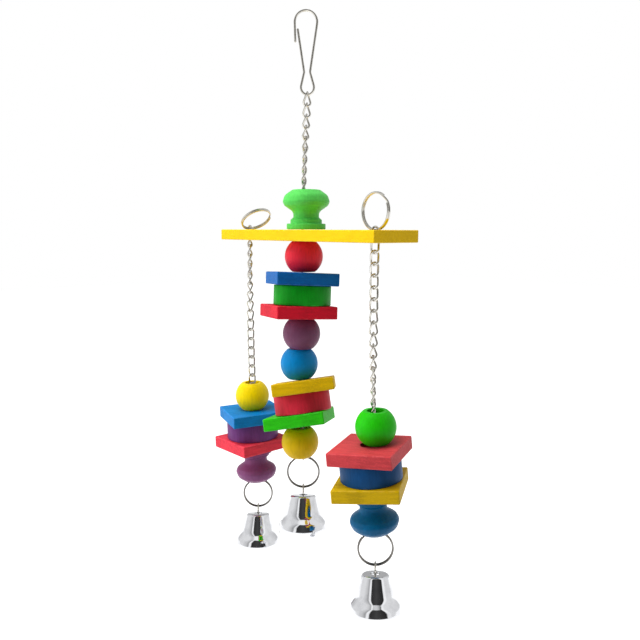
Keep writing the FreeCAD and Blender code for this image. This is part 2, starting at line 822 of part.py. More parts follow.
def hang_bell(side, ring):
    """Bell, its wire hanger and its clapper under a split ring."""
    radius = (VALUE["ring_diameter"] - VALUE["ring_wire"]) / 2
    wires = (VALUE["ring_wire"] + VALUE["hanger_wire"]) / 2
    hold = ring.Placement.Base - UP * radius
    lean = Rotation(RIGHT, -VALUE["bell_lean"]) * Rotation(UP, VALUE["view_turn"])
    upward = lean.multVec(UP)
    start = hold + upward * (wires + VALUE["ring_wire"] * 0.6)
    top = lower_until(HANGER, lean, start, ring.Shape, VALUE["wire_gap"], upward * -1)
    wire_part(side + "_bell_hanger", HANGER, Placement(top, lean))
    crown = top + lean.multVec(Vector(0, 0, -VALUE["hanger_reach"]))
    settle(bell_shell(side + "_bell"), Placement(crown, lean))
    PIVOTS[side + "_bell"] = (top, lean.multVec(Vector(0, 1, 0)))
    eye_hole = (VALUE["clapper_eye"] - VALUE["clapper_wire"] - VALUE["hanger_wire"]) / 2
    wire_middle = top + lean.multVec(Vector(0, 0, -HANGER_FLOOR))
    eye = wire_middle - UP * (eye_hole - VALUE["wire_gap"])
    settle(clapper(side + "_clapper"), Placement(eye, Rotation(UP, VALUE["view_turn"])))
    PIVOTS[side + "_clapper"] = (wire_middle, AWAY)


SPLIT_RING = split_ring_shape()
HANGER, HANGER_FLOOR = hanger_shape()

# The hook hangs from its bow and leans in its own plane

hook_turn = Rotation(AWAY, -VALUE["hook_lean"]) * Rotation(UP, VALUE["view_turn"])
hook = wire_part("snap_hook", hook_shape(), Placement(NOWHERE, hook_turn))
loop_radius = (VALUE["hook_bulb"] - VALUE["hook_wire"]) / 2
loop_depth = VALUE["hook_height"] - VALUE["hook_wire"] * 1.5 - loop_radius
loop_low = hook_turn.multVec(Vector(0, 0, -loop_depth)) - UP * loop_radius
PIVOTS["top_link"] = (loop_low, RIGHT)

# Middle strand

# A link lies flat to the viewer at this turn, and edge on a quarter turn from it
FLAT = VALUE["view_turn"]
first_turn = FLAT + 45
last_turn = FLAT - 45
start = loop_low + UP * (VALUE["hook_wire"] + VALUE["link_wire"])
first_top = lower_until(LINK, turned(UP, first_turn), start, hook.Shape, VALUE["link_gap"])
centre = Strand(
    NOWHERE,
    first_top,
    int(VALUE["centre_links"]),
    ((0, first_turn), (1, first_turn), (5, FLAT + 90), (14, FLAT + 90), (34, FLAT + 135)),
    VALUE["centre_lean"],
    VALUE["centre_bow"],
)
wire_part("top_link", centre.links(0, 1))
wire_part("centre_chain", centre.links(1, len(centre.tops)))
PIVOTS["centre_chain"] = centre.top_wire(1)

centre_ring = ring_below("centre_key_ring", centre, len(centre.tops) - 1)

BALL = (VALUE["ball_height"], VALUE["ball_bore"])
PLATE = (VALUE["plate_thickness"], VALUE["wood_bore"])
DRUM = (VALUE["drum_height"], VALUE["wood_bore"])
KNOB = (VALUE["knob_height"], VALUE["knob_bore"])
BAR = (VALUE["bar_thickness"], VALUE["bar_middle_hole"])

stack(
    centre,
    centre_ring,
    (
        (ball("centre_yellow_ball"), *BALL, 20, 1, 1, -2.8, False),
        (plate("centre_green_plate"), *PLATE, 10.4, 8.8, 11.5, -2.9, False),
        (drum("centre_red_drum"), *DRUM, 30, 8.6, 11.5, -1.5, False),
        (plate("centre_yellow_plate"), *PLATE, 1.8, 8.3, 11.5, -0.2, False),
        (ball("centre_blue_ball"), *BALL, 70, 2, 2, -3.4, False),
        (ball("centre_purple_ball"), *BALL, 140, 0, 1, -2.0, False),
        (plate("centre_red_plate"), *PLATE, -20.4, -1.2, 3.9, -4.0, False),
        (drum("centre_green_drum"), *DRUM, 80, -1.6, 3.9, -1.6, False),
        (plate("centre_blue_plate"), *PLATE, -14.5, -1.9, 3.9, -2.0, False),
        (ball("centre_red_ball"), *BALL, 200, 0, 0, -0.8, False),
        (crossbar("crossbar"), *BAR, VALUE["view_turn"], 0, 0, 0, False),
        (knob("top_knob"), *KNOB, 0, 0, 0, 0.4, False),
    ),
)
hang_bell("centre", centre_ring)

# Side strands: a ring lies over each side hole, with a chain through it

bar = PARTS["crossbar"]
bar_top = bar.Shape.BoundBox.ZMax


def side_strand(side, sign, ring_rotation, ring_drop, twists, lean, bow):
    """Retaining ring on the crossbar and the chain that hangs from its lowest edge."""
    hole = Vector(bar.Placement.Base.x + sign * VALUE["side_reach"], bar.Placement.Base.y, 0)
    radius = (VALUE["ring_diameter"] - VALUE["ring_wire"]) / 2
    low = ring_rotation.multVec(ring_drop) * radius
    start = hole - low + UP * (bar_top + VALUE["ring_wire"] * 2)
    rest = lower_until(SPLIT_RING, ring_rotation, start, bar.Shape, VALUE["wire_gap"])
    ring = wire_part(side + "_retaining_ring", SPLIT_RING, Placement(rest, ring_rotation))
    over = rest + low + UP * (VALUE["ring_wire"] + VALUE["link_wire"] / 2)
    top = lower_until(LINK, turned(UP, twists[0][1]), over, ring.Shape, VALUE["link_gap"])
    count = int(VALUE[side + "_links"])
    strand = Strand(hole, top, count, twists, lean, bow)
    wire_part(side + "_top_links", strand.links(0, 2))
    wire_part(side + "_swivel_link", strand.links(2, 3))
    wire_part(side + "_chain", strand.links(3, count))
    PIVOTS[side + "_swivel_link"] = strand.bottom_wire(1)
    PIVOTS[side + "_chain"] = strand.top_wire(3)
    key_ring = ring_below(side + "_key_ring", strand, count - 1)
    return strand, key_ring


LYING = Rotation(Vector(0, 1, 0), -VALUE["left_ring_tilt"])
left, left_ring = side_strand(
    "left",
    -1,
    LYING * Rotation(UP, VALUE["left_ring_turn"]),
    Rotation(UP, -VALUE["left_ring_turn"]).multVec(Vector(-1, 0, 0)),
    ((0, -45), (3, -45), (11, FLAT), (17, FLAT), (27, last_turn)),
    VALUE["left_lean"],
    VALUE["left_bow"],
)
STANDING = Rotation(Vector(1, 0, 0), 90)
right, right_ring = side_strand(
    "right",
    1,
    STANDING * Rotation(UP, VALUE["right_ring_turn"]),
    Rotation(UP, -VALUE["right_ring_turn"]).multVec(Vector(0, -1, 0)),
    ((0, 45), (3, 45), (6, FLAT), (13, FLAT + 90), (16, FLAT + 90), (26, FLAT + 135)),
    VALUE["right_lean"],
    VALUE["right_bow"],
)

stack(
    left,
    left_ring,
    (
        (knob("left_purple_knob"), *KNOB, 0, 2, 0.5, 2.4, True),
        (plate("left_red_plate"), *PLATE, -39.1, 2.0, 0.7, 0.2, False),
        (drum("left_purple_drum"), *DRUM, 0, 2.0, 0.7, 0.5, False),
        (plate("left_blue_plate"), *PLATE, -22.4, 2.0, 0.7, 0.7, False),
        (ball("left_yellow_ball"), *BALL, 0, 1, 0, 0.5, False),
    ),
)
stack(
    right,
    right_ring,
    (
        (knob("right_blue_knob"), *KNOB, 0, 5.5, 0.5, 1.2, True),
        (plate("right_yellow_plate"), *PLATE, 14.2, 5.5, 0.6, -1.5, False),
        (drum("right_blue_drum"), *DRUM, 0, 5.5, 0.6, -0.6, False),
        (plate("right_pink_plate"), *PLATE, 24.3, 5.5, 0.6, -1.4, False),
        (ball("right_green_ball"), *BALL, 0, 2, 0, 1.6, False),
    ),
)
hang_bell("left", left_ring)
hang_bell("right", right_ring)

doc.recompute()
for item in doc.Objects:
    if "Invalid" in item.State or "Error" in item.State:
        raise RuntimeError(item.Label + " did not build")
for name, item in PARTS.items():
    if item.Shape.isNull() or not item.Shape.isValid():
        raise RuntimeError(name + " has no sound shape")

os.makedirs("parts", exist_ok=True)
for name, item in PARTS.items():
    item.Shape.exportStep(os.path.join("parts", name + ".step"))
print(len(PARTS), "pieces")
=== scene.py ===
"""Bird swing: dyed wooden pieces on chains under a flat bar, with bells on split rings.

Run as a script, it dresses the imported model. Balls, drums, knobs, chains, rings, the
hook and the bells get finished surfaces in the model's own frame, the squares and the
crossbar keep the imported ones, and every piece gets a material.
"""

import json
import math

import bpy
import numpy as np
from bpy.props import FloatProperty, FloatVectorProperty, IntProperty, PointerProperty
from mathutils import Matrix, Quaternion, Vector


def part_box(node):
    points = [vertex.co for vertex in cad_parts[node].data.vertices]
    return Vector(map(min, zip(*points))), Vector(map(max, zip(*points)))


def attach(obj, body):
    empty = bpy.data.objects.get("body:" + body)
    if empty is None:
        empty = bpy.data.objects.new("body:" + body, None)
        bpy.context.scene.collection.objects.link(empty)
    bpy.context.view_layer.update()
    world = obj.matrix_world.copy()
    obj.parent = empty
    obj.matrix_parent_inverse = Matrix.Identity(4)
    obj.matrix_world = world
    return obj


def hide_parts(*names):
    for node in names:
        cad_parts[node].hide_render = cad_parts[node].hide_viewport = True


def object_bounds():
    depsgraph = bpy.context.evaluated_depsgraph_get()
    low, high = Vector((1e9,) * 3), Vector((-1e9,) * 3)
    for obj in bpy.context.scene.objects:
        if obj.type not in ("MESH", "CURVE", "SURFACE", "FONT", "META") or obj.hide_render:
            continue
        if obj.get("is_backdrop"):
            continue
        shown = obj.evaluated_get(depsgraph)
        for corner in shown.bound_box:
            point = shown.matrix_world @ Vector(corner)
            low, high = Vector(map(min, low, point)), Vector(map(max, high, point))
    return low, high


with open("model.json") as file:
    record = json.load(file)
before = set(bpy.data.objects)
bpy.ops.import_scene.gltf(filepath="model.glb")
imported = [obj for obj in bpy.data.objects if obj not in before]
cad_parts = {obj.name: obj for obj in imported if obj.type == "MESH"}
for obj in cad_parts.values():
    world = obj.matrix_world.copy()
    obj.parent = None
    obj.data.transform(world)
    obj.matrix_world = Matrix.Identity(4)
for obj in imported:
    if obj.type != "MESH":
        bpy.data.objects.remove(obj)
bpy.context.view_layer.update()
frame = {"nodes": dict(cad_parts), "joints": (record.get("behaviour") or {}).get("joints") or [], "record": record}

bl_info = {
    "name": "Bird swing",
    "version": (1, 0, 0),
    "blender": (4, 5, 0),
    "location": "3D View > Sidebar > Bird swing",
    "description": "Finished surfaces and materials for a hanging bird swing",
    "category": "Object",
}

MM = 0.001
NODES = frame["nodes"]
JOINTS = {joint["name"]: joint for joint in frame["joints"]}
BODY_OF = {
    node: body
    for body, members in frame["record"]["behaviour"]["bodies"].items()
    for node in members
}
UP = Vector((0, 0, 1))
# Points of a line that lie closer than this, in metres, are one point
SAME_POINT = 1e-7


def linear(code):
    """Linear colour of a #RRGGBB code."""
    steps = [int(code[i : i + 2], 16) / 255 for i in (1, 3, 5)]
    return tuple(s / 12.92 if s <= 0.04045 else ((s + 0.055) / 1.055) ** 2.4 for s in steps)


def dye(node, code):
    name = node.replace("_", " ")
    return FloatVectorProperty(
        name=name.capitalize(),
        description="Dye colour of the " + name,
        subtype="COLOR",
        min=0,
        max=1,
        default=linear(code),
    )


def length(name, description, millimetres):
    return FloatProperty(
        name=name,
        description=description,
        default=millimetres * MM,
        min=0.0,
        unit="LENGTH",
        precision=5,
    )


def degrees(name, description, value):
    return FloatProperty(
        name=name, description=description, default=math.radians(value), subtype="ANGLE"
    )


# Sizes and colours


DYES = {
    "top_knob": "#5CD65C",
    "crossbar": "#FFD000",
    "centre_red_ball": "#F02C40",
    "centre_blue_plate": "#0062B0",
    "centre_green_drum": "#04A018",
    "centre_red_plate": "#DC1430",
    "centre_purple_ball": "#7A4868",
    "centre_blue_ball": "#008CD4",
    "centre_yellow_plate": "#E6BC04",
    "centre_red_drum": "#D42A3E",
    "centre_green_plate": "#2EC814",
    "centre_yellow_ball": "#E8BE02",
    "left_yellow_ball": "#FFE000",
    "left_blue_plate": "#0080CC",
    "left_purple_drum": "#70387A",
    "left_red_plate": "#F43C50",
    "left_purple_knob": "#8C5080",
    "right_green_ball": "#24C808",
    "right_pink_plate": "#D6464C",
    "right_blue_drum": "#00477E",
    "right_yellow_plate": "#D6B003",
    "right_blue_knob": "#006192",
}


class BirdSwingDyes(bpy.types.PropertyGroup):
    """Colour of each wooden piece."""

    __annotations__ = {node: dye(node, code) for node, code in DYES.items()}


class BirdSwingWood(bpy.types.PropertyGroup):
    """Sizes of the turned pieces and of the boards' patterns."""

    ball_diameter: length("Ball", "Diameter of a ball", 20.0)
    ball_height: length("Ball height", "Height of a ball between its flat ends", 16.0)
    ball_bore: length("Ball bore", "Hole through a ball", 8.4)
    drum_diameter: length("Drum", "Diameter of a drum", 30.4)
    drum_height: length("Drum height", "Height of a drum", 10.3)
    bore: length("Bore", "Hole through a drum or a square", 9.2)
    knob_height: length("Knob height", "Height of a knob", 20.4)
    plate_side: length("Square", "Side of a square piece", 32.6)
    plate_thickness: length("Square's thickness", "Thickness of a square piece", 6.6)
    bar_length: length("Bar", "Length of the crossbar", 129.0)
    bar_width: length("Bar width", "Width of the crossbar", 28.2)
    bar_thickness: length("Bar thickness", "Thickness of the crossbar", 5.8)


class BirdSwingWire(bpy.types.PropertyGroup):
    """Sizes of the hook, the chains and the split rings."""

    hook_wire: length("Hook wire", "Diameter of the hook's wire", 1.15)
    link_wire: length("Link wire", "Diameter of a link's wire", 1.05)
    link_spread: length("Link spread", "From a link's corner to its arc's ends", 2.4)
    link_length: length("Link length", "Height of a link's wire line", 6.87)
    link_pitch: length("Link pitch", "From one link to the next", 5.5019)
    ring_diameter: length("Ring", "Outside diameter of a split ring", 18.0)
    ring_wire: length("Ring wire", "Diameter of a split ring's wire", 0.9)
    ring_play: length("Ring play", "Gap between a split ring's coils", 0.04)
    ring_step: degrees("Ring step", "Angle over which the coil steps across", 34.0)
    hook_lean: degrees("Hook lean", "Lean of the hook in its own plane", -1.5)
    view_turn: degrees("Facing", "Azimuth of the toy's right hand", 51.16)


class BirdSwingBells(bpy.types.PropertyGroup):
    """Sizes of the bells and what hangs in them."""

    diameter: length("Bell", "Diameter across a bell's lip", 26.9)
    height: length("Bell height", "Height of a bell", 21.0)
    wall: length("Bell wall", "Thickness of the sheet", 0.7)
    hanger_wire: length("Hanger wire", "Diameter of the wire that holds a bell", 0.9)
    clapper_wire: length("Clapper wire", "Diameter of the clapper's wire", 0.8)
    hanger_reach: length("Hanger reach", "From a hanger's top wire to the crown", 5.6)
    clapper_ball: length("Clapper ball", "Diameter of the clapper's ball", 8.6)
    clapper_eye: length("Clapper eye", "Diameter of the eye's middle line", 2.6)
    clapper_drop: length("Clapper drop", "From the eye's middle to the ball's middle", 11.0)
    clapper_hang: length("Clapper hang", "From the joint to the eye's middle", 0.33)
    lean: degrees("Bell lean", "How far a bell leans back", 12.0)


class BirdSwingStage(bpy.types.PropertyGroup):
    """Floor, lamps and camera."""

    floor_drop: length("Floor drop", "How far the floor is under the bells", 260.0)
    ambient: FloatProperty(name="Ambient", description="Light from all round", default=0.65)
    key_power: FloatProperty(name="Key lamp", description="Power in watts", default=6.0)
    side_power: FloatProperty(name="Side lamp", description="Power in watts", default=2.0)
    lens: FloatProperty(name="Lens", description="Focal length in mm", default=38.1)
    pitch: degrees("Pitch", "How far the camera looks down", 7.56)
    roll: degrees("Roll", "How far the camera leans", 0.23)
    sides: IntProperty(name="Sides", description="Facets round a turned piece", default=80)


# Surfaces


def unit(vectors):
    return vectors / np.linalg.norm(vectors, axis=-1, keepdims=True)


def rounded(corners, radii, steps=6, closed=False):
    """Line through the corners, each turned by an arc of its own radius.

    With a and b the unit directions from a corner to its neighbours and 2h the angle
    between them, the arc's centre is r / sin(h) along the bisector, and a point of the
    arc is centre + s cos(w) - a r sin(w), where s runs from the centre to the tangent
    point r / tan(h) along a, and w goes from 0 to 180 - 2h degrees.
    """
    corners = np.asarray(corners, float)
    inner = corners if closed else corners[1:-1]
    before = np.roll(corners, 1, 0) if closed else corners[:-2]
    after = np.roll(corners, -1, 0) if closed else corners[2:]
    a, b = unit(before - inner), unit(after - inner)
    half = np.arccos(np.clip((a * b).sum(1), -1, 1)) / 2
    r = np.asarray(radii, float)[:, None]
    centre = inner + unit(a + b) * r / np.sin(half)[:, None]
    start = inner + a * r / np.tan(half)[:, None] - centre
    turn = (math.pi - 2 * half)[:, None] * np.linspace(0, 1, steps)
    arcs = (
        centre[:, None]
        + start[:, None] * np.cos(turn)[..., None]
        - (a * r)[:, None] * np.sin(turn)[..., None]
    )
    path = arcs.reshape(-1, corners.shape[1])
    if not closed:
        path = np.vstack((corners[:1], path, corners[-1:]))
    step = np.linalg.norm(path - np.roll(path, 1, 0), axis=1)
    if not closed:
        step[0] = 1.0
    return path[step > SAME_POINT]


def skin(grid, wrap, poles=None):
    """Vertices and faces of a grid of rows whose columns close on themselves.

    Row i, column j joins its neighbours in i and j. Rows close too where wrap is set;
    otherwise each pole is joined to the nearest row by a fan.
    """
    rows, cols = grid.shape[:2]
    i = np.arange(rows if wrap else rows - 1)[:, None]
    j = np.arange(cols)[None, :]
    here, across = i * cols + j, i * cols + (j + 1) % cols
    up = (i + 1) % rows * cols
    quads = np.stack((here, across, up + (j + 1) % cols, up + j), -1).reshape(-1, 4)
    verts = grid.reshape(-1, 3)
    faces = quads.tolist()
    if poles is not None:
        j = np.arange(cols)
        first, last = len(verts), len(verts) + 1
        top = (rows - 1) * cols
        faces += np.stack((np.full(cols, first), (j + 1) % cols, j), -1).tolist()
        faces += np.stack((np.full(cols, last), top + j, top + (j + 1) % cols), -1).tolist()
        verts = np.vstack((verts, poles))
    return verts, faces


def tube(path, radius, front, sides=10, closed=False, squareness=2.0):
    """Bar along a path.

    A point is p + k (s cos v + t x s sin v), where t is the path's direction, s the
    front direction made square to t, and k = r / (|cos v|^n + |sin v|^n)^(1/n), a
    circle at n = 2 and nearer a square above it. The ends of an open bar are domed:
    k shrinks with cos w while the section moves out by r sin w.
    """
    ahead = unit(np.roll(path, -1, 0) - path)
    behind = np.roll(ahead, 1, 0)
    if not closed:
        ahead[-1], behind[0] = behind[-1], ahead[0]
    along = unit(ahead + behind)
    scale = np.ones(len(path))
    front = np.broadcast_to(np.asarray(front, float), path.shape)
    poles = None
    if not closed:
        w = np.radians([60.0, 30.0])
        shift = radius * np.sin(w)[:, None]
        poles = np.array([path[0] - along[0] * radius, path[-1] + along[-1] * radius])
        path = np.vstack((path[0] - along[0] * shift, path, path[-1] + along[-1] * shift[::-1]))
        scale = np.concatenate((np.cos(w), scale, np.cos(w)[::-1]))
        along = np.vstack((along[[0, 0]], along, along[[-1, -1]]))
        front = np.vstack((front[[0, 0]], front, front[[-1, -1]]))
    side = unit(front - along * (front * along).sum(1, keepdims=True))
    over = np.cross(along, side)
    v = np.linspace(0, 2 * math.pi, sides, endpoint=False)
    n = squareness
    reach = radius / (np.abs(np.cos(v)) ** n + np.abs(np.sin(v)) ** n) ** (1 / n)
    ring = (
        side[:, None] * (reach * np.cos(v))[None, :, None]
        + over[:, None] * (reach * np.sin(v))[None, :, None]
    )
    return skin(path[:, None] + ring * scale[:, None, None], closed, poles)


def turned(profile, sides, poles=None):
    """Surface of a profile (radius, height) turned about Z: (r cos v, r sin v, z).

    The profile runs anticlockwise round the material, so its outside is to its right.
    """
    v = np.linspace(0, 2 * math.pi, sides, endpoint=False)
    r, z = profile[:, 0, None], profile[:, 1, None]
    grid = np.stack((r * np.cos(v), r * np.sin(v), z + 0 * v), -1)
    return skin(grid, poles is None, poles)


def merged(surfaces):
    """Several surfaces as one set of vertices and faces."""
    verts, faces, count = [], [], 0
    for points, polygons in surfaces:
        verts.append(points)
        faces += [[count + k for k in polygon] for polygon in polygons]
        count += len(points)
    return np.vstack(verts), faces


def finished(node, surface, place, material, sharp=None):
    """Puts a surface in the scene in place of a node of the frame, on that node's body."""
    verts, faces = surface
    turn = np.array(place.to_3x3())
    verts = verts @ turn.T + np.array(place.translation)
    mesh = bpy.data.meshes.new("finished_" + node)
    mesh.from_pydata(verts.tolist(), [], faces)
    mesh.polygons.foreach_set("use_smooth", [True] * len(mesh.polygons))
    if sharp is not None:
        mesh.set_sharp_from_angle(angle=math.radians(sharp))
    mesh.materials.append(material)
    mesh.update()
    piece = bpy.data.objects.new("finished_" + node, mesh)
    bpy.context.scene.collection.objects.link(piece)
    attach(piece, BODY_OF[node])
    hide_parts(node)
    return piece


def placed(rotation, position):
    return Matrix.Translation(position) @ rotation.to_matrix().to_4x4()


def stood(axis, angle=0.0):
    """Rotation that stands a piece on an axis and turns it about that axis."""
    return UP.rotation_difference(Vector(axis)) @ Quaternion(UP, angle)


def seat(joint):
    """Place and axis of a joint."""
    return Vector(JOINTS[joint]["pos_m"]), Vector(JOINTS[joint]["axis"])


def facing():
    """Directions to the toy's right and away from the viewer."""
    angle = bpy.context.scene.bird_swing_wire.view_turn
    right = Vector((math.cos(angle), math.sin(angle), 0))
    return right, Vector((-right.y, right.x, 0))


# Materials


# Scale of each pattern of the wood and of the metal
FIBRES, PORES, BEND, BANDS, PATCHES, RUB = 900.0, 2300.0, 60.0, 95.0, 85.0, 420.0
SMEARS, SCRATCHES = 210.0, 2600.0
# Stretch of the fibres and the pores along the grain, and of the scratches upwards
FIBRE_STRETCH, PORE_STRETCH = (0.14, 1.0, 1.0), (0.45, 1.0, 1.0)
SCRATCH_STRETCH = (1.0, 1.0, 0.12)
# How far the growth bands bend, in metres
BAND_BEND = 0.006
# Shares of the fibres, the patches and the bands in the depth of the dye
FIBRE_SHARE, PATCH_SHARE, BAND_SHARE = 0.38, 0.34, 0.32
# Tone of the dye in open pores, and tone and share of white on rubbed edges
PORE_TONE, WORN_TONE, WORN_CHALK = 1.3, 1.15, 0.07
WEAR_WIDTH, WEAR_SHARE = 0.75 * MM, 0.5
WOOD_RELIEF, WOOD_BUMP, WOOD_SPECULAR = 0.25 * MM, 0.35, 0.16
METAL_RELIEF = 0.1 * MM
# Half size along which a turned piece has no edge to rub
NO_EDGE = 1.0
# Shift of the grain from piece to piece
GRAIN_SHIFT, GRAIN_ASIDE = 0.37, [0.011, 0.004]


class Graph:
    """Adds nodes to one tree and joins their sockets."""

    def __init__(self, tree):
        self.tree = tree

    def node(self, kind, inputs=None, **settings):
        made = self.tree.nodes.new(kind)
        for name, value in settings.items():
            setattr(made, name, value)
        for name, value in (inputs or {}).items():
            if isinstance(value, bpy.types.NodeSocket):
                self.join(value, made.inputs[name])
            else:
                made.inputs[name].default_value = value
        return made

    def join(self, source, target):
        self.tree.links.new(source, target)

    def number(self, operation, *values):
        return self.node("ShaderNodeMath", dict(enumerate(values)), operation=operation).outputs[0]

    def vector(self, operation, *values):
        made = self.node("ShaderNodeVectorMath", dict(enumerate(values)), operation=operation)
        return made.outputs["Value" if operation in ("DOT_PRODUCT", "LENGTH") else "Vector"]

    def between(self, value, low, high, to_low=0.0, to_high=1.0):
        made = self.node(
            "ShaderNodeMapRange",
            {0: value, 1: low, 2: high, 3: to_low, 4: to_high},
            interpolation_type="SMOOTHSTEP",
        )
        return made.outputs[0]

    def blend(self, factor, first, second):
        """Mix of two colours, which are inputs 6 and 7 and output 2 of a Mix node."""
        made = self.node("ShaderNodeMix", {0: factor, 6: first, 7: second}, data_type="RGBA")
        return made.outputs[2]

    def ramp(self, value, stops):
        """Grey level through the stops, which are pairs of a place from 0 to 1 and a level."""
        made = self.node("ShaderNodeValToRGB", {0: value})
        elements = made.color_ramp.elements
        elements.remove(elements[1])
        elements[0].position, elements[0].color = stops[0][0], (*[stops[0][1]] * 3, 1)
        for place, level in stops[1:]:
            elements.new(place).color = (level, level, level, 1)
        return made.outputs["Color"]

    def noise(self, vector, scale, detail=3.0, roughness=0.55):
        made = self.node(
            "ShaderNodeTexNoise",
            {"Vector": vector, "Scale": scale, "Detail": detail, "Roughness": roughness},
        )
        return made.outputs["Fac"]


def effect(name, takes, gives):
    """New node group with named sockets: its graph, its inputs and a way to set its outputs."""
    tree = bpy.data.node_groups.new(name, "ShaderNodeTree")
    for label, kind, value in takes:
        socket = tree.interface.new_socket(label, in_out="INPUT", socket_type="NodeSocket" + kind)
        if value is not None:
            socket.default_value = value
    for label, kind in gives:
        tree.interface.new_socket(label, in_out="OUTPUT", socket_type="NodeSocket" + kind)
    graph = Graph(tree)
    return graph, graph.node("NodeGroupInput").outputs, graph.node("NodeGroupOutput").inputs


def dyed_grain():
    """Dye in wood: long fibres, growth bands, open pores and dye taken up unevenly.

    The grain runs along X of the vector given. The dye's depth is the sum of fibres,
    patches and bands, each times its share, and blends Dye into Deep.
    """
    g, taken, given = effect(
        "Dyed grain",
        (
            ("Vector", "Vector", None),
            ("Dye", "Color", (0.5, 0.5, 0.5, 1)),
            ("Deep", "Color", (0.3, 0.3, 0.3, 1)),
            ("Pale", "Color", (0.8, 0.8, 0.8, 1)),
            ("Pores", "Float", 0.5),
            ("Bands", "Float", 0.5),
            ("Matt", "Float", 0.5),
        ),
        (("Color", "Color"), ("Roughness", "Float"), ("Height", "Float")),
    )
    long_grain = g.vector("MULTIPLY", taken["Vector"], FIBRE_STRETCH)
    fibres = g.noise(long_grain, FIBRES, 4.0, 0.62)
    short_grain = g.vector("MULTIPLY", taken["Vector"], PORE_STRETCH)
    pores = g.between(g.noise(short_grain, PORES), 0.5, 0.68)
    bent = g.noise(taken["Vector"], BEND, 2.0)
    offset = g.vector("SCALE", g.node("ShaderNodeCombineXYZ", {1: bent, 2: bent}).outputs[0])
    offset.node.inputs["Scale"].default_value = BAND_BEND
    wave = g.node(
        "ShaderNodeTexWave",
        {
            "Vector": g.vector("ADD", long_grain, offset),
            "Scale": BANDS,
            "Distortion": 1.6,
            "Detail": 2.0,
        },
        wave_type="RINGS",
        rings_direction="X",
    )
    bands = g.number("MULTIPLY", wave.outputs["Fac"], taken["Bands"])
    patches = g.between(g.noise(taken["Vector"], PATCHES, 2.5), 0.36, 0.66)
    fine = g.between(fibres, 0.36, 0.64)
    depth = g.number(
        "ADD",
        g.number("MULTIPLY", fine, FIBRE_SHARE),
        g.number("MULTIPLY", patches, PATCH_SHARE),
    )
    depth = g.number("ADD", depth, g.number("MULTIPLY", bands, BAND_SHARE))
    colour = g.blend(g.between(depth, 0.05, 0.85), taken["Dye"], taken["Deep"])
    open_pores = g.number("MULTIPLY", pores, taken["Pores"])
    colour = g.blend(open_pores, colour, taken["Pale"])
    g.join(colour, given["Color"])
    rough = g.number("ADD", taken["Matt"], g.number("MULTIPLY", open_pores, 0.22))
    g.join(g.number("ADD", rough, g.number("MULTIPLY", fine, 0.06)), given["Roughness"])
    height = g.number("SUBTRACT", g.number("MULTIPLY", fibres, 0.6), open_pores)
    g.join(height, given["Height"])
    return g.tree


def edge_wear():
    """Mask of rubbed edges: near two faces of a block at once, broken up by noise.

    The distance to each pair of faces is half size - |vector|, and the middle one of
    the three distances is small only near an edge.
    """
    g, taken, given = effect(
        "Edge wear",
        (
            ("Vector", "Vector", None),
            ("Half size", "Vector", (0.01, 0.01, 0.01)),
            ("Width", "Float", 0.0008),
            ("Object", "Vector", None),
        ),
        (("Mask", "Float"),),
    )
    inside = g.vector("SUBTRACT", taken["Half size"], g.vector("ABSOLUTE", taken["Vector"]))
    x, y, z = g.node("ShaderNodeSeparateXYZ", {0: inside}).outputs
    low, high = g.number("MINIMUM", x, y), g.number("MAXIMUM", x, y)
    middle = g.number("MAXIMUM", low, g.number("MINIMUM", high, z))
    rub = g.noise(taken["Object"], RUB, 3.0)
    reach = g.number("MULTIPLY", taken["Width"], g.between(rub, 0.3, 0.75, 0.15, 1.6))
    g.join(g.between(g.number("DIVIDE", middle, reach), 1.0, 0.0), given["Mask"])
    return g.tree


def handled_metal():
    """Plated metal that has been handled: faint smears, fine scratches and dull patches."""
    g, taken, given = effect(
        "Handled metal",
        (
            ("Vector", "Vector", None),
            ("Bright", "Color", (0.8, 0.8, 0.8, 1)),
            ("Dull", "Color", (0.5, 0.5, 0.5, 1)),
            ("Shine", "Float", 0.1),
            ("Smears", "Float", 0.1),
        ),
        (("Color", "Color"), ("Roughness", "Float"), ("Height", "Float")),
    )
    smear = g.between(g.noise(taken["Vector"], SMEARS, 3.0), 0.42, 0.7)
    fine = g.noise(g.vector("MULTIPLY", taken["Vector"], SCRATCH_STRETCH), SCRATCHES, 3.0)
    colour = g.blend(g.number("MULTIPLY", smear, 0.6), taken["Bright"], taken["Dull"])
    g.join(colour, given["Color"])
    rough = g.number("ADD", taken["Shine"], g.number("MULTIPLY", smear, taken["Smears"]))
    g.join(g.number("ADD", rough, g.number("MULTIPLY", fine, 0.04)), given["Roughness"])
    g.join(fine, given["Height"])
    return g.tree


def group(name, make):
    return bpy.data.node_groups.get(name) or make()


def new_material(name):
    made = bpy.data.materials.new(name)
    made.use_nodes = True
    made.node_tree.nodes.clear()
    return made, Graph(made.node_tree)


def set_inputs(node, **values):
    for name, value in values.items():
        node.inputs[name].default_value = value


def toned(colour, value, chalk=0.0):
    """A colour made darker or lighter, and paler by a share of white."""
    return (*[min(c * value, 1.0) * (1 - chalk) + chalk for c in colour], 1.0)


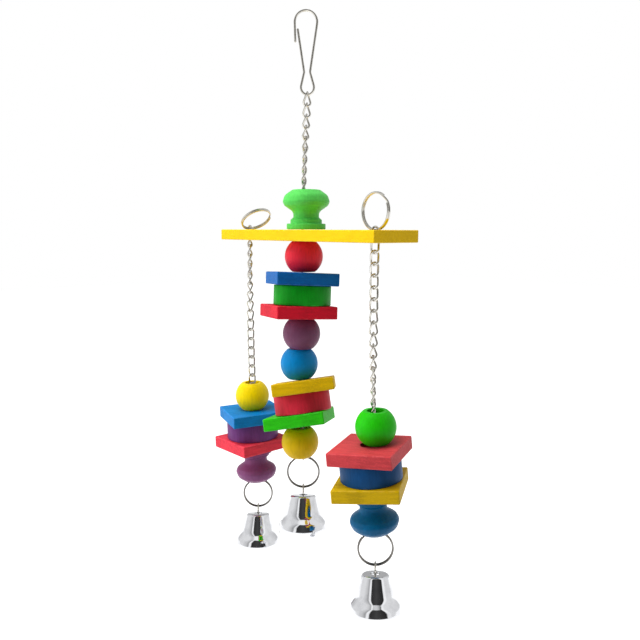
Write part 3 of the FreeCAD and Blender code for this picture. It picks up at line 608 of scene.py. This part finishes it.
def wood_material(node, place, half_size, radial, pores, bands, deep, matt):
    """Dyed wood whose grain and rubbed edges follow one piece.

    The piece's own coordinates come from its place: X along the grain of a board and Z
    its thickness, and Z the axis and the grain of a turned piece.
    """
    dyes = getattr(bpy.context.scene.bird_swing_dyes, node)
    made, g = new_material("dyed wood " + node.replace("_", " "))
    where = g.node("ShaderNodeTexCoord").outputs["Object"]
    own = g.node(
        "ShaderNodeMapping",
        {"Vector": where, "Location": place.translation, "Rotation": place.to_euler()},
        vector_type="TEXTURE",
    ).outputs[0]
    block = along_grain = own
    if radial:
        x, y, z = g.node("ShaderNodeSeparateXYZ", {0: own}).outputs
        spread = g.vector("LENGTH", g.node("ShaderNodeCombineXYZ", {0: x, 1: y}).outputs[0])
        block = g.node("ShaderNodeCombineXYZ", {0: spread, 2: z}).outputs[0]
        along_grain = g.node("ShaderNodeCombineXYZ", {0: z, 1: x, 2: y}).outputs[0]
    shift = [GRAIN_SHIFT * sum(map(ord, node)) % 1.0, *GRAIN_ASIDE]
    grain = g.node("ShaderNodeGroup", node_tree=group("Dyed grain", dyed_grain))
    g.join(g.vector("ADD", along_grain, shift), grain.inputs["Vector"])
    set_inputs(
        grain,
        Dye=toned(dyes, 1.0),
        Deep=toned(dyes, deep),
        Pale=toned(dyes, PORE_TONE),
        Pores=pores,
        Bands=bands,
        Matt=matt,
    )
    wear = g.node("ShaderNodeGroup", node_tree=group("Edge wear", edge_wear))
    g.join(block, wear.inputs["Vector"])
    g.join(where, wear.inputs["Object"])
    set_inputs(wear, **{"Half size": half_size, "Width": WEAR_WIDTH})
    worn = g.number("MULTIPLY", wear.outputs["Mask"], WEAR_SHARE)
    colour = g.blend(worn, grain.outputs["Color"], toned(dyes, WORN_TONE, WORN_CHALK))
    bump = g.node(
        "ShaderNodeBump",
        {"Height": grain.outputs["Height"], "Strength": WOOD_BUMP, "Distance": WOOD_RELIEF},
    )
    shader = g.node(
        "ShaderNodeBsdfPrincipled",
        {
            "Base Color": colour,
            "Roughness": grain.outputs["Roughness"],
            "Normal": bump.outputs[0],
            "Specular IOR Level": WOOD_SPECULAR,
        },
    )
    g.node("ShaderNodeOutputMaterial", {0: shader.outputs[0]})
    return made


def metal_material(name, bright, dull, shine, smears, bump=0.03):
    """Plated wire or sheet, from its bright and dull colours.

    Shine is the roughness of the clean plate, and smears is what a smear adds to it.
    """
    found = bpy.data.materials.get(name)
    if found:
        return found
    made, g = new_material(name)
    where = g.node("ShaderNodeTexCoord").outputs["Object"]
    handled = g.node("ShaderNodeGroup", node_tree=group("Handled metal", handled_metal))
    g.join(where, handled.inputs["Vector"])
    bright, dull = (*linear(bright), 1), (*linear(dull), 1)
    set_inputs(handled, Bright=bright, Dull=dull, Shine=shine, Smears=smears)
    raised = g.node(
        "ShaderNodeBump",
        {"Height": handled.outputs["Height"], "Strength": bump, "Distance": METAL_RELIEF},
    )
    shader = g.node(
        "ShaderNodeBsdfPrincipled",
        {
            "Base Color": handled.outputs["Color"],
            "Roughness": handled.outputs["Roughness"],
            "Normal": raised.outputs[0],
            "Metallic": 1.0,
        },
    )
    g.node("ShaderNodeOutputMaterial", {0: shader.outputs[0]})
    return made


def nickel():
    return metal_material("nickel wire", "#CFCCC4", "#9A978E", 0.14, 0.14)


def dark_nickel():
    return metal_material("dark nickel wire", "#77746F", "#4C4A47", 0.18, 0.14)


def chrome():
    return metal_material("bright bell plate", "#EDEEF1", "#D5D6DA", 0.035, 0.06, 0.01)


def clapper_steel():
    return metal_material("clapper steel", "#8B8A86", "#5C5B58", 0.24, 0.2)


# Wooden pieces

BALLS = (
    "centre_red_ball",
    "centre_purple_ball",
    "centre_blue_ball",
    "centre_yellow_ball",
    "left_yellow_ball",
    "right_green_ball",
)
DRUMS = ("centre_green_drum", "centre_red_drum", "left_purple_drum", "right_blue_drum")
KNOBS = (("top_knob", False), ("left_purple_knob", True), ("right_blue_knob", True))
# Each square's turn towards the viewer about its own axis, in degrees
PLATES = (
    ("centre_blue_plate", -14.5),
    ("centre_red_plate", -20.4),
    ("centre_yellow_plate", 1.8),
    ("centre_green_plate", 10.4),
    ("left_blue_plate", -22.4),
    ("left_red_plate", -39.1),
    ("right_pink_plate", 24.3),
    ("right_yellow_plate", 14.2),
)
# Radius and height of each corner of a knob, and the radius that rounds it, in mm
KNOB_PROFILE = (
    (4.2, 0.0, 0.3),
    (10.15, 0.0, 0.5),
    (10.15, 3.0, 0.5),
    (8.2, 3.0, 0.25),
    (8.2, 4.9, 0.4),
    (6.7, 6.2, 0.6),
    (6.7, 9.0, 3.0),
    (11.3, 12.2, 1.6),
    (12.3, 14.2, 2.2),
    (11.2, 17.6, 4.0),
    (7.2, 20.4, 1.6),
    (4.2, 20.4, 0.4),
)


# Strength of the pores and of the growth bands, tone of the deepest dye against the
# plain one, and roughness, of each kind of piece
FINISHES = {
    "ball": {"pores": 0.06, "bands": 0.15, "deep": 0.84, "matt": 0.40},
    "drum": {"pores": 0.10, "bands": 0.30, "deep": 0.78, "matt": 0.44},
    "knob": {"pores": 0.06, "bands": 0.35, "deep": 0.84, "matt": 0.38},
    "square": {"pores": 0.40, "bands": 0.30, "deep": 0.74, "matt": 0.50},
    "crossbar": {"pores": 0.05, "bands": 0.05, "deep": 0.88, "matt": 0.42},
}


class BIRDSWING_OT_turned_wood(bpy.types.Operator):
    """Turns the balls, the drums and the knobs, and dyes them."""

    bl_idname = "birdswing.turned_wood"
    bl_label = "Turned wood"

    def execute(self, context):
        wood = context.scene.bird_swing_wood
        sides = context.scene.bird_swing_stage.sides
        radius, half = wood.ball_diameter / 2, wood.ball_height / 2
        lean = math.asin(half / radius)
        arc = np.linspace(-lean, lean, 33)
        ends = np.array([[wood.ball_bore / 2, half], [wood.ball_bore / 2, -half]])
        ball = np.vstack((np.stack((np.cos(arc), np.sin(arc)), 1) * radius, ends))
        for node in BALLS:
            self.turn(node, ball, sides, (radius, NO_EDGE, half), "ball", 32)
        bore, rim, half = wood.bore / 2, wood.drum_diameter / 2, wood.drum_height / 2
        corners = ((bore, -half), (rim, -half), (rim, half), (bore, half))
        drum = rounded(corners, np.array([0.3, 0.5, 0.5, 0.3]) * MM, 4, closed=True)
        for node in DRUMS:
            self.turn(node, drum, sides, (rim, NO_EDGE, half), "drum", 40)
        profile = np.array(KNOB_PROFILE) * MM
        knob = rounded(profile[:, :2], profile[:, 2], 7, closed=True)
        half = wood.knob_height / 2
        knob[:, 1] -= half
        for node, inverted in KNOBS:
            self.turn(node, knob, sides, (profile[1, 0], NO_EDGE, half), "knob", 50, inverted)
        return {"FINISHED"}

    def turn(self, node, profile, sides, half_size, kind, sharp, inverted=False):
        """Turns a profile about a piece's joint, smooth up to the sharp angle in degrees."""
        middle, axis = seat(node + "_turn")
        rotation = stood(axis)
        if inverted:
            rotation = rotation @ Quaternion((1, 0, 0), math.pi)
        place = placed(rotation, middle)
        dyed = wood_material(node, place, half_size, True, **FINISHES[kind])
        finished(node, turned(profile, sides), place, dyed, sharp)


class BIRDSWING_OT_boards(bpy.types.Operator):
    """Dyes the squares and the crossbar, with grain and rubbed edges that follow each."""

    bl_idname = "birdswing.boards"
    bl_label = "Boards"

    def execute(self, context):
        wood = context.scene.bird_swing_wood
        half = Vector((wood.plate_side, wood.plate_side, wood.plate_thickness)) / 2
        view_turn = context.scene.bird_swing_wire.view_turn
        for node, turn in PLATES:
            middle, axis = seat(node + "_turn")
            place = placed(stood(axis, view_turn - math.radians(turn)), middle)
            self.cover(node, wood_material(node, place, half, False, **FINISHES["square"]))
        low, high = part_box("crossbar")
        place = Matrix.Translation((low + high) / 2)
        half = Vector((wood.bar_length, wood.bar_width, wood.bar_thickness)) / 2
        dyed = wood_material("crossbar", place, half, False, **FINISHES["crossbar"])
        self.cover("crossbar", dyed)
        return {"FINISHED"}

    def cover(self, node, material):
        slots = NODES[node].data.materials
        slots.clear()
        slots.append(material)


# Wire

# Anchor link, links of each node, twists, lean in degrees and bow in mm. A twist is a
# link's number and its turn in degrees, and the links between two twists share it out.
STRANDS = {
    "centre": (
        1,
        (("top_link", 0, 1), ("centre_chain", 1, 35)),
        ((0, 96.16), (1, 96.16), (5, 141.16), (14, 141.16), (34, 186.16)),
        -0.58,
        -1.9,
    ),
    "left": (
        3,
        (("left_top_links", 0, 2), ("left_swivel_link", 2, 3), ("left_chain", 3, 28)),
        ((0, -45.0), (3, -45.0), (11, 51.16), (17, 51.16), (27, 6.16)),
        1.3,
        -1.6,
    ),
    "right": (
        3,
        (("right_top_links", 0, 2), ("right_swivel_link", 2, 3), ("right_chain", 3, 27)),
        ((0, 45.0), (3, 45.0), (6, 51.16), (13, 141.16), (16, 141.16), (26, 186.16)),
        0.9,
        -1.1,
    ),
}


# Turn in degrees that brings the wire's step of a hanging ring to its side
KEY_RING_TURN = -75
# The rings that hold the side chains over the bar: what each slopes about, its slope and
# its turn about its own axis, in degrees
RETAINING_RINGS = (
    ("left_retaining_ring", (0, 1, 0), -38, 60),
    ("right_retaining_ring", (1, 0, 0), 90, 40),
)
# Corners of the hook's wire line in its own plane and the arc at each, in mm
HOOK_LINE = (
    (-5.6, -14.25, None),
    (-5.6, 0.575, 5.6),
    (6.75, 0.575, 5.6),
    (1.5, -29.35, 2.4),
    (4.4, -40.475, 3.7),
    (-4.4, -40.475, 3.7),
    (-1.5, -29.35, 2.4),
    (-4.15, -8.55, None),
)


class BIRDSWING_OT_chains(bpy.types.Operator):
    """Bends the twisted links and hangs them in their three strands."""

    bl_idname = "birdswing.chains"
    bl_label = "Chains"

    def execute(self, context):
        wire = context.scene.bird_swing_wire
        verts, faces = self.link(wire)
        faces = np.array(faces)
        for side, (anchor, nodes, twists, lean, bow) in STRANDS.items():
            count = nodes[-1][2]
            tops, turns = self.hang(wire, side, anchor, count, twists, lean, bow * MM)
            for node, start, end in nodes:
                links = np.einsum("nij,vj->nvi", turns[start:end], verts) + tops[start:end, None]
                shift = np.arange(end - start)[:, None, None] * len(verts)
                surface = (links.reshape(-1, 3), (faces + shift).reshape(-1, 4).tolist())
                finished(node, surface, Matrix.Identity(4), nickel())
        return {"FINISHED"}

    def link(self, wire):
        """Skew rectangle of wire: the top run lies at 45 degrees to X, the bottom one square to it.

        The wire's line has its corners at (+-c, +-c, 0) and (+-c, -+c, -length), with
        c = spread cos 45. Each is turned by an arc that starts one spread away, with
        r = spread tan(h) and 2h the corner's angle. The line is raised by
        r (1 - cos((180 - 2h) / 4)) times its sides' slope, onto the solid's chords.
        """
        side = wire.link_spread * math.cos(math.radians(45))
        low = -wire.link_length
        corners = np.array(
            ((side, side, 0), (side, -side, low), (-side, side, low), (-side, -side, 0))
        )
        before = unit(corners[3] - corners[0])
        after = unit(corners[1] - corners[0])
        half = math.acos(before @ after) / 2
        radius = wire.link_spread * math.tan(half)
        path = rounded(corners, [radius] * 4, 6, closed=True)
        path[:, 2] += radius * (1 - math.cos((math.pi - 2 * half) / 4)) * abs(after[2])
        return tube(path, wire.link_wire / 2, path - path.mean(0), 8, closed=True)

    def hang(self, wire, side, anchor, count, twists, lean, bow):
        """Top and turn of each link of a strand that leans and bows to one side.

        With s from 0 to 1 down a strand of length L, its slope to the right is
        tan(lean) + bow pi cos(pi s) / L, and each link starts where the last one ends.
        """
        right = facing()[0]
        share = (np.arange(count) + 0.5) / count
        slope = math.tan(math.radians(lean))
        slope = slope + bow * math.pi / (count * wire.link_pitch) * np.cos(math.pi * share)
        along = unit(slope[:, None] * np.array(right) - np.array(UP))
        steps = np.vstack((np.zeros((1, 3)), np.cumsum(along * wire.link_pitch, 0)))[:count]
        tops = steps - steps[anchor] + np.array(seat(side + "_chain_swing")[0])
        turns = np.radians(np.interp(np.arange(count), *zip(*twists)))
        matrices = [stood(-Vector(a), t).to_matrix() for a, t in zip(along, turns)]
        return tops, np.array(matrices)


class BIRDSWING_OT_split_rings(bpy.types.Operator):
    """Winds the split rings."""

    bl_idname = "birdswing.split_rings"
    bl_label = "Split rings"

    def execute(self, context):
        wire = context.scene.bird_swing_wire
        surface = self.ring(wire)
        radius = (wire.ring_diameter - wire.ring_wire) / 2
        face = stood(facing()[1], math.radians(KEY_RING_TURN))
        for side in STRANDS:
            top, _ = seat(side + "_key_ring_swing")
            finished(side + "_key_ring", surface, placed(face, top - UP * radius), dark_nickel())
        for node, hinge, slope, turn in RETAINING_RINGS:
            slope, turn = math.radians(slope), math.radians(turn)
            rotation = Quaternion(hinge, slope) @ Quaternion(UP, turn)
            low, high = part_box(node)
            finished(node, surface, placed(rotation, (low + high) / 2), nickel())
        return {"FINISHED"}

    def ring(self, wire):
        """Two coils of one wire: (R cos u, R sin u, z), where z steps from one coil to the other.

        Over the step, z rises by apart (w - sin(2 pi w) / (2 pi)) as w goes from 0 to 1.
        """
        radius = (wire.ring_diameter - wire.ring_wire) / 2
        apart = wire.ring_wire + wire.ring_play
        half = wire.ring_step / 2
        u = np.linspace(half, 4 * math.pi - half, 190)
        w = np.clip((u - (2 * math.pi - half)) / wire.ring_step, 0, 1)
        z = apart * (w - np.sin(2 * math.pi * w) / (2 * math.pi) - 0.5)
        path = np.stack((radius * np.cos(u), radius * np.sin(u), z), 1)
        return tube(path, wire.ring_wire / 2, UP, 12, squareness=2.4)


class BIRDSWING_OT_hook(bpy.types.Operator):
    """Bends the spring hook."""

    bl_idname = "birdswing.hook"
    bl_label = "Hook"

    def execute(self, context):
        wire = context.scene.bird_swing_wire
        line = np.array([(x, 0.0, z) for x, z, _ in HOOK_LINE]) * MM
        radii = [r * MM for _, _, r in HOOK_LINE[1:-1]]
        surface = tube(rounded(line, radii, 16), wire.hook_wire / 2, (0, 1, 0), 14)
        away = facing()[1]
        rotation = Quaternion(away, wire.hook_lean) @ Quaternion(UP, wire.view_turn)
        finished("snap_hook", surface, placed(rotation, Vector()), nickel())
        return {"FINISHED"}


# Bells

# Outer line of a bell from the lip's foot to the hole in the crown: radius as a share
# of the lip's, depth as a share of the height, and the radius in mm at each corner
BELL_LINE = (
    (0.86, 1.0, None),
    (0.95, 0.98, 1.2),
    (1.012, 0.85, 5.0),
    (0.95, 0.68, 5.0),
    (0.745, 0.52, 6.0),
    (0.512, 0.0, 1.5),
    (0.171, 0.0, None),
)
# One side of a hanger's wire line from the eye down, across and up, and the radius at
# each corner, in mm
HANGER_LINE = (
    (1.7, 0.0, 1.7),
    (1.7, -3.4, 0.9),
    (0.765, -4.7, 0.81),
    (0.765, -6.85, 0.63),
    (3.2, -6.85, 0.9),
    (3.2, -9.8, 1.8),
)


class BIRDSWING_OT_bells(bpy.types.Operator):
    """Spins the bells and bends their hangers and clappers."""

    bl_idname = "birdswing.bells"
    bl_label = "Bells"

    def execute(self, context):
        bells = context.scene.bird_swing_bells
        view_turn = context.scene.bird_swing_wire.view_turn
        sides = context.scene.bird_swing_stage.sides
        right = facing()[0]
        lean = Quaternion(right, -bells.lean) @ Quaternion(UP, view_turn)
        shell = turned(self.profile(bells), sides)
        hanger = self.hanger(bells)
        clapper = self.clapper(bells, sides // 2)
        for side in STRANDS:
            top, _ = seat(side + "_bell_swing")
            crown = top - lean @ UP * bells.hanger_reach
            finished(side + "_bell", shell, placed(lean, crown), chrome(), 40)
            finished(side + "_bell_hanger", hanger, placed(lean, top), nickel())
            eye = seat(side + "_clapper_swing")[0] - UP * bells.clapper_hang
            upright = Quaternion(UP, view_turn)
            finished(side + "_clapper", clapper, placed(upright, eye), clapper_steel(), 60)
        return {"FINISHED"}

    def profile(self, bells):
        """Sheet bell: flat crown, rounded shoulder, flared side and a full rolled lip.

        The outer line is rounded from its corners, and the inner one lies a wall's
        thickness inside it along the normal.
        """
        lip, foot = bells.diameter / 2, -bells.height
        corners = [(across * lip, depth * foot) for across, depth, _ in BELL_LINE]
        outer = rounded(corners, [r * MM for _, _, r in BELL_LINE[1:-1]], 9)
        ahead = unit(np.gradient(outer, axis=0))
        inward = np.stack((-ahead[:, 1], ahead[:, 0]), 1)
        inner = outer + inward * bells.wall
        inner[-1, 0] = outer[-1, 0]
        return np.vstack((outer, inner[::-1]))

    def hanger(self, bells):
        """Keyhole loop of wire in the YZ plane: an eye, a neck and wide shoulders."""
        wire = bells.hanger_wire
        half = np.array(HANGER_LINE)
        other = half[::-1] * (-1, 1, 1)
        loop = np.vstack((half, other)) * MM
        line = np.stack((0 * loop[:, 0], loop[:, 0], loop[:, 1]), 1)
        path = rounded(line, loop[:, 2], 6, closed=True)
        return tube(path, wire / 2, (1, 0, 0), closed=True)

    def clapper(self, bells, sides):
        """Wire eye, a short stem and a solid ball, hung from the eye's middle.

        The eye is (e cos u, 0, e sin u), and the ball's outline (r cos w, r sin w - drop).
        """
        wire = bells.clapper_wire
        u = np.linspace(0, 2 * math.pi, 24, endpoint=False)
        eye = bells.clapper_eye / 2
        circle = np.stack((eye * np.cos(u), 0 * u, eye * np.sin(u)), 1)
        drop = bells.clapper_drop
        stem = np.array(((0, 0, -drop), (0, 0, -eye)))
        w = np.linspace(-math.pi / 2, math.pi / 2, 22)[1:-1]
        radius = bells.clapper_ball / 2
        meridian = np.stack((radius * np.cos(w), radius * np.sin(w) - drop), 1)
        poles = np.array(((0, 0, -drop - radius), (0, 0, -drop + radius)))
        return merged(
            (
                tube(circle, wire / 2, (0, 1, 0), closed=True),
                tube(stem, wire / 2, (1, 0, 0)),
                turned(meridian, sides, poles),
            )
        )


# Stage

# Each lamp's place from the toy's middle, to the right, away from the viewer and
# upwards, and its size, in metres
LAMPS = (("key", (-0.25, -0.12, 0.75), 0.6), ("side", (-0.62, -0.12, 0.08), 0.4))
# Where the camera stands in the model's frame and how wide its sensor is, in mm
CAMERA_PLACE, SENSOR_WIDTH = (283.1, -217.9, -108.7), 36.0
# Half the floor's side in metres, its grey, and what it adds to white in the picture
FLOOR_REACH, FLOOR_GREY, FLOOR_GLOW = 5.0, 0.86, 0.75
# Sines of the heights where the light overhead begins and is full, of the middle of the
# table's pale edge, and its half widths, full and outer
OVERHEAD = (0.90, 0.96)
TABLE_HEIGHT, TABLE_EDGE = -0.09, (0.07, 0.12)
# Level of the surroundings by azimuth from the viewer in degrees, positive to the
# right: first as it is mirrored, then as it lights the toy
MIRRORED = (
    (-180, 0.42),
    (-150, 0.60),
    (-115, 0.82),
    (-80, 0.82),
    (-60, 0.62),
    (-50, 0.38),
    (-46, 0.60),
    (-44, 1.0),
    (-34, 1.0),
    (-31, 0.03),
    (0, 0.06),
    (46, 0.02),
    (49, 1.0),
    (60, 1.0),
    (68, 0.80),
    (115, 0.82),
    (150, 0.60),
    (180, 0.42),
)
SOFT = (
    (-180, 1.0),
    (-90, 1.0),
    (-60, 0.75),
    (-25, 0.22),
    (25, 0.22),
    (60, 0.70),
    (90, 1.0),
    (180, 1.0),
)


class BIRDSWING_OT_stage(bpy.types.Operator):
    """Sets the pale floor, the white surroundings, the lamps and the camera."""

    bl_idname = "birdswing.stage"
    bl_label = "Stage"

    def execute(self, context):
        scene = context.scene
        scene.view_settings.view_transform = "Standard"
        stage = scene.bird_swing_stage
        low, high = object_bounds()
        middle = (low + high) / 2
        right, away = facing()
        self.floor(low.z - stage.floor_drop)
        self.surroundings(scene, stage)
        for name, (across, behind, above), size in LAMPS:
            place = middle + right * across + away * behind + UP * above
            self.lamp(name, place, middle, size, getattr(stage, name + "_power"))
        self.camera(scene, stage, right, away)
        return {"FINISHED"}

    def floor(self, height):
        reach = FLOOR_REACH
        mesh = bpy.data.meshes.new("floor")
        square = ((-reach, -reach), (reach, -reach), (reach, reach), (-reach, reach))
        corners = [(x, y, height) for x, y in square]
        mesh.from_pydata(corners, [], [(0, 1, 2, 3)])
        floor = bpy.data.objects.new("floor", mesh)
        bpy.context.scene.collection.objects.link(floor)
        made, g = new_material("pale floor")
        path = g.node("ShaderNodeLightPath").outputs
        seen = g.number("MAXIMUM", path["Is Camera Ray"], path["Is Glossy Ray"])
        seen = g.number("MAXIMUM", seen, path["Is Transmission Ray"])
        grey = (FLOOR_GREY, FLOOR_GREY, FLOOR_GREY, 1)
        matt = g.node("ShaderNodeBsdfDiffuse", {"Color": grey})
        glow = g.node(
            "ShaderNodeEmission",
            {"Color": (1, 1, 1, 1), "Strength": g.number("MULTIPLY", seen, FLOOR_GLOW)},
        )
        both = g.node("ShaderNodeAddShader", {0: matt.outputs[0], 1: glow.outputs[0]})
        g.node("ShaderNodeOutputMaterial", {0: both.outputs[0]})
        mesh.materials.append(made)
        floor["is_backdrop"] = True

    def surroundings(self, scene, stage):
        """White all round, except for the dark gap that the viewer looks through.

        A pale edge of the table runs round at the level of the horizon, and so the
        bells show a thin light line over their lips.
        """
        world = bpy.data.worlds.new("studio")
        world.use_nodes = True
        world.node_tree.nodes.clear()
        scene.world = world
        g = Graph(world.node_tree)
        path = g.node("ShaderNodeLightPath").outputs
        way = g.node("ShaderNodeTexCoord").outputs["Generated"]
        right, away = facing()
        sideways = g.vector("DOT_PRODUCT", way, right)
        nearer = g.vector("DOT_PRODUCT", way, -away)
        angle = g.number("ARCTAN2", sideways, nearer)
        share = g.number("MULTIPLY_ADD", angle, 0.5 / math.pi, 0.5)
        height = g.node("ShaderNodeSeparateXYZ", {0: way}).outputs[2]
        overhead = g.between(height, *OVERHEAD)
        from_table = g.number("ABSOLUTE", g.number("SUBTRACT", height, TABLE_HEIGHT))
        table = g.between(from_table, *TABLE_EDGE, 1.0, 0.0)
        pale = g.number("MAXIMUM", overhead, table)
        lights = []
        for stops, part, strength in ((MIRRORED, pale, 1.0), (SOFT, overhead, stage.ambient)):
            level = g.ramp(share, [(0.5 + degree / 360, level) for degree, level in stops])
            level = g.blend(part, level, (1, 1, 1, 1))
            lights.append(g.node("ShaderNodeBackground", {"Color": level, "Strength": strength}))
        mirrored, soft = lights
        white = g.node("ShaderNodeBackground", {"Color": (1, 1, 1, 1), "Strength": 1.0})
        seen = g.number("MAXIMUM", path["Is Camera Ray"], path["Is Transmission Ray"])
        first = g.node("ShaderNodeMixShader", {0: seen, 1: soft.outputs[0], 2: white.outputs[0]})
        both = g.node(
            "ShaderNodeMixShader",
            {0: path["Is Glossy Ray"], 1: first.outputs[0], 2: mirrored.outputs[0]},
        )
        g.node("ShaderNodeOutputWorld", {0: both.outputs[0]})

    def lamp(self, name, place, target, size, power):
        lamp = bpy.data.lights.new(name, "AREA")
        lamp.size = size
        lamp.energy = power
        lamp_object = bpy.data.objects.new(name, lamp)
        lamp_object.location = place
        lamp_object.rotation_mode = "QUATERNION"
        lamp_object.rotation_quaternion = (target - place).to_track_quat("-Z", "Y")
        lamp_object.visible_glossy = False
        bpy.context.scene.collection.objects.link(lamp_object)

    def camera(self, scene, stage, right, away):
        lens = bpy.data.cameras.new("camera")
        lens.lens = stage.lens
        lens.sensor_width = SENSOR_WIDTH
        lens.clip_start = 0.01
        camera = bpy.data.objects.new("camera", lens)
        scene.collection.objects.link(camera)
        upward = UP * math.cos(stage.pitch) + away * math.sin(stage.pitch)
        backward = UP * math.sin(stage.pitch) - away * math.cos(stage.pitch)
        c, s = math.cos(stage.roll), math.sin(stage.roll)
        x_axis = right * c + upward * s
        y_axis = upward * c - right * s
        axes = Matrix((x_axis, y_axis, backward)).transposed()
        place = Matrix.Translation(Vector(CAMERA_PLACE) * MM)
        camera.matrix_world = place @ axes.to_4x4()
        scene.camera = camera


class BIRDSWING_PT_panel(bpy.types.Panel):
    """Lists the swing's pieces and their sizes."""

    bl_idname = "BIRDSWING_PT_panel"
    bl_label = "Bird swing"
    bl_space_type = "VIEW_3D"
    bl_region_type = "UI"
    bl_category = "Bird swing"

    def draw(self, context):
        for operator in OPERATORS:
            self.layout.operator(operator.bl_idname)
        for attribute, kind in GROUPS:
            box = self.layout.box()
            for name in kind.__annotations__:
                box.prop(getattr(context.scene, attribute), name)


GROUPS = (
    ("bird_swing_dyes", BirdSwingDyes),
    ("bird_swing_wood", BirdSwingWood),
    ("bird_swing_wire", BirdSwingWire),
    ("bird_swing_bells", BirdSwingBells),
    ("bird_swing_stage", BirdSwingStage),
)
OPERATORS = (
    BIRDSWING_OT_turned_wood,
    BIRDSWING_OT_boards,
    BIRDSWING_OT_chains,
    BIRDSWING_OT_split_rings,
    BIRDSWING_OT_hook,
    BIRDSWING_OT_bells,
    BIRDSWING_OT_stage,
)


def register():
    for attribute, kind in GROUPS:
        bpy.utils.register_class(kind)
        setattr(bpy.types.Scene, attribute, PointerProperty(type=kind))
    for kind in (*OPERATORS, BIRDSWING_PT_panel):
        bpy.utils.register_class(kind)


def unregister():
    for kind in (BIRDSWING_PT_panel, *reversed(OPERATORS)):
        bpy.utils.unregister_class(kind)
    for attribute, kind in reversed(GROUPS):
        delattr(bpy.types.Scene, attribute)
        bpy.utils.unregister_class(kind)


def main():
    for name in [o.name for o in bpy.data.objects if o.type in ("LIGHT", "CAMERA")]:
        bpy.data.objects.remove(bpy.data.objects[name])
    register()
    bpy.ops.birdswing.turned_wood()
    bpy.ops.birdswing.boards()
    bpy.ops.birdswing.chains()
    bpy.ops.birdswing.split_rings()
    bpy.ops.birdswing.hook()
    bpy.ops.birdswing.bells()
    bpy.ops.birdswing.stage()


if __name__ == "__main__":
    main()
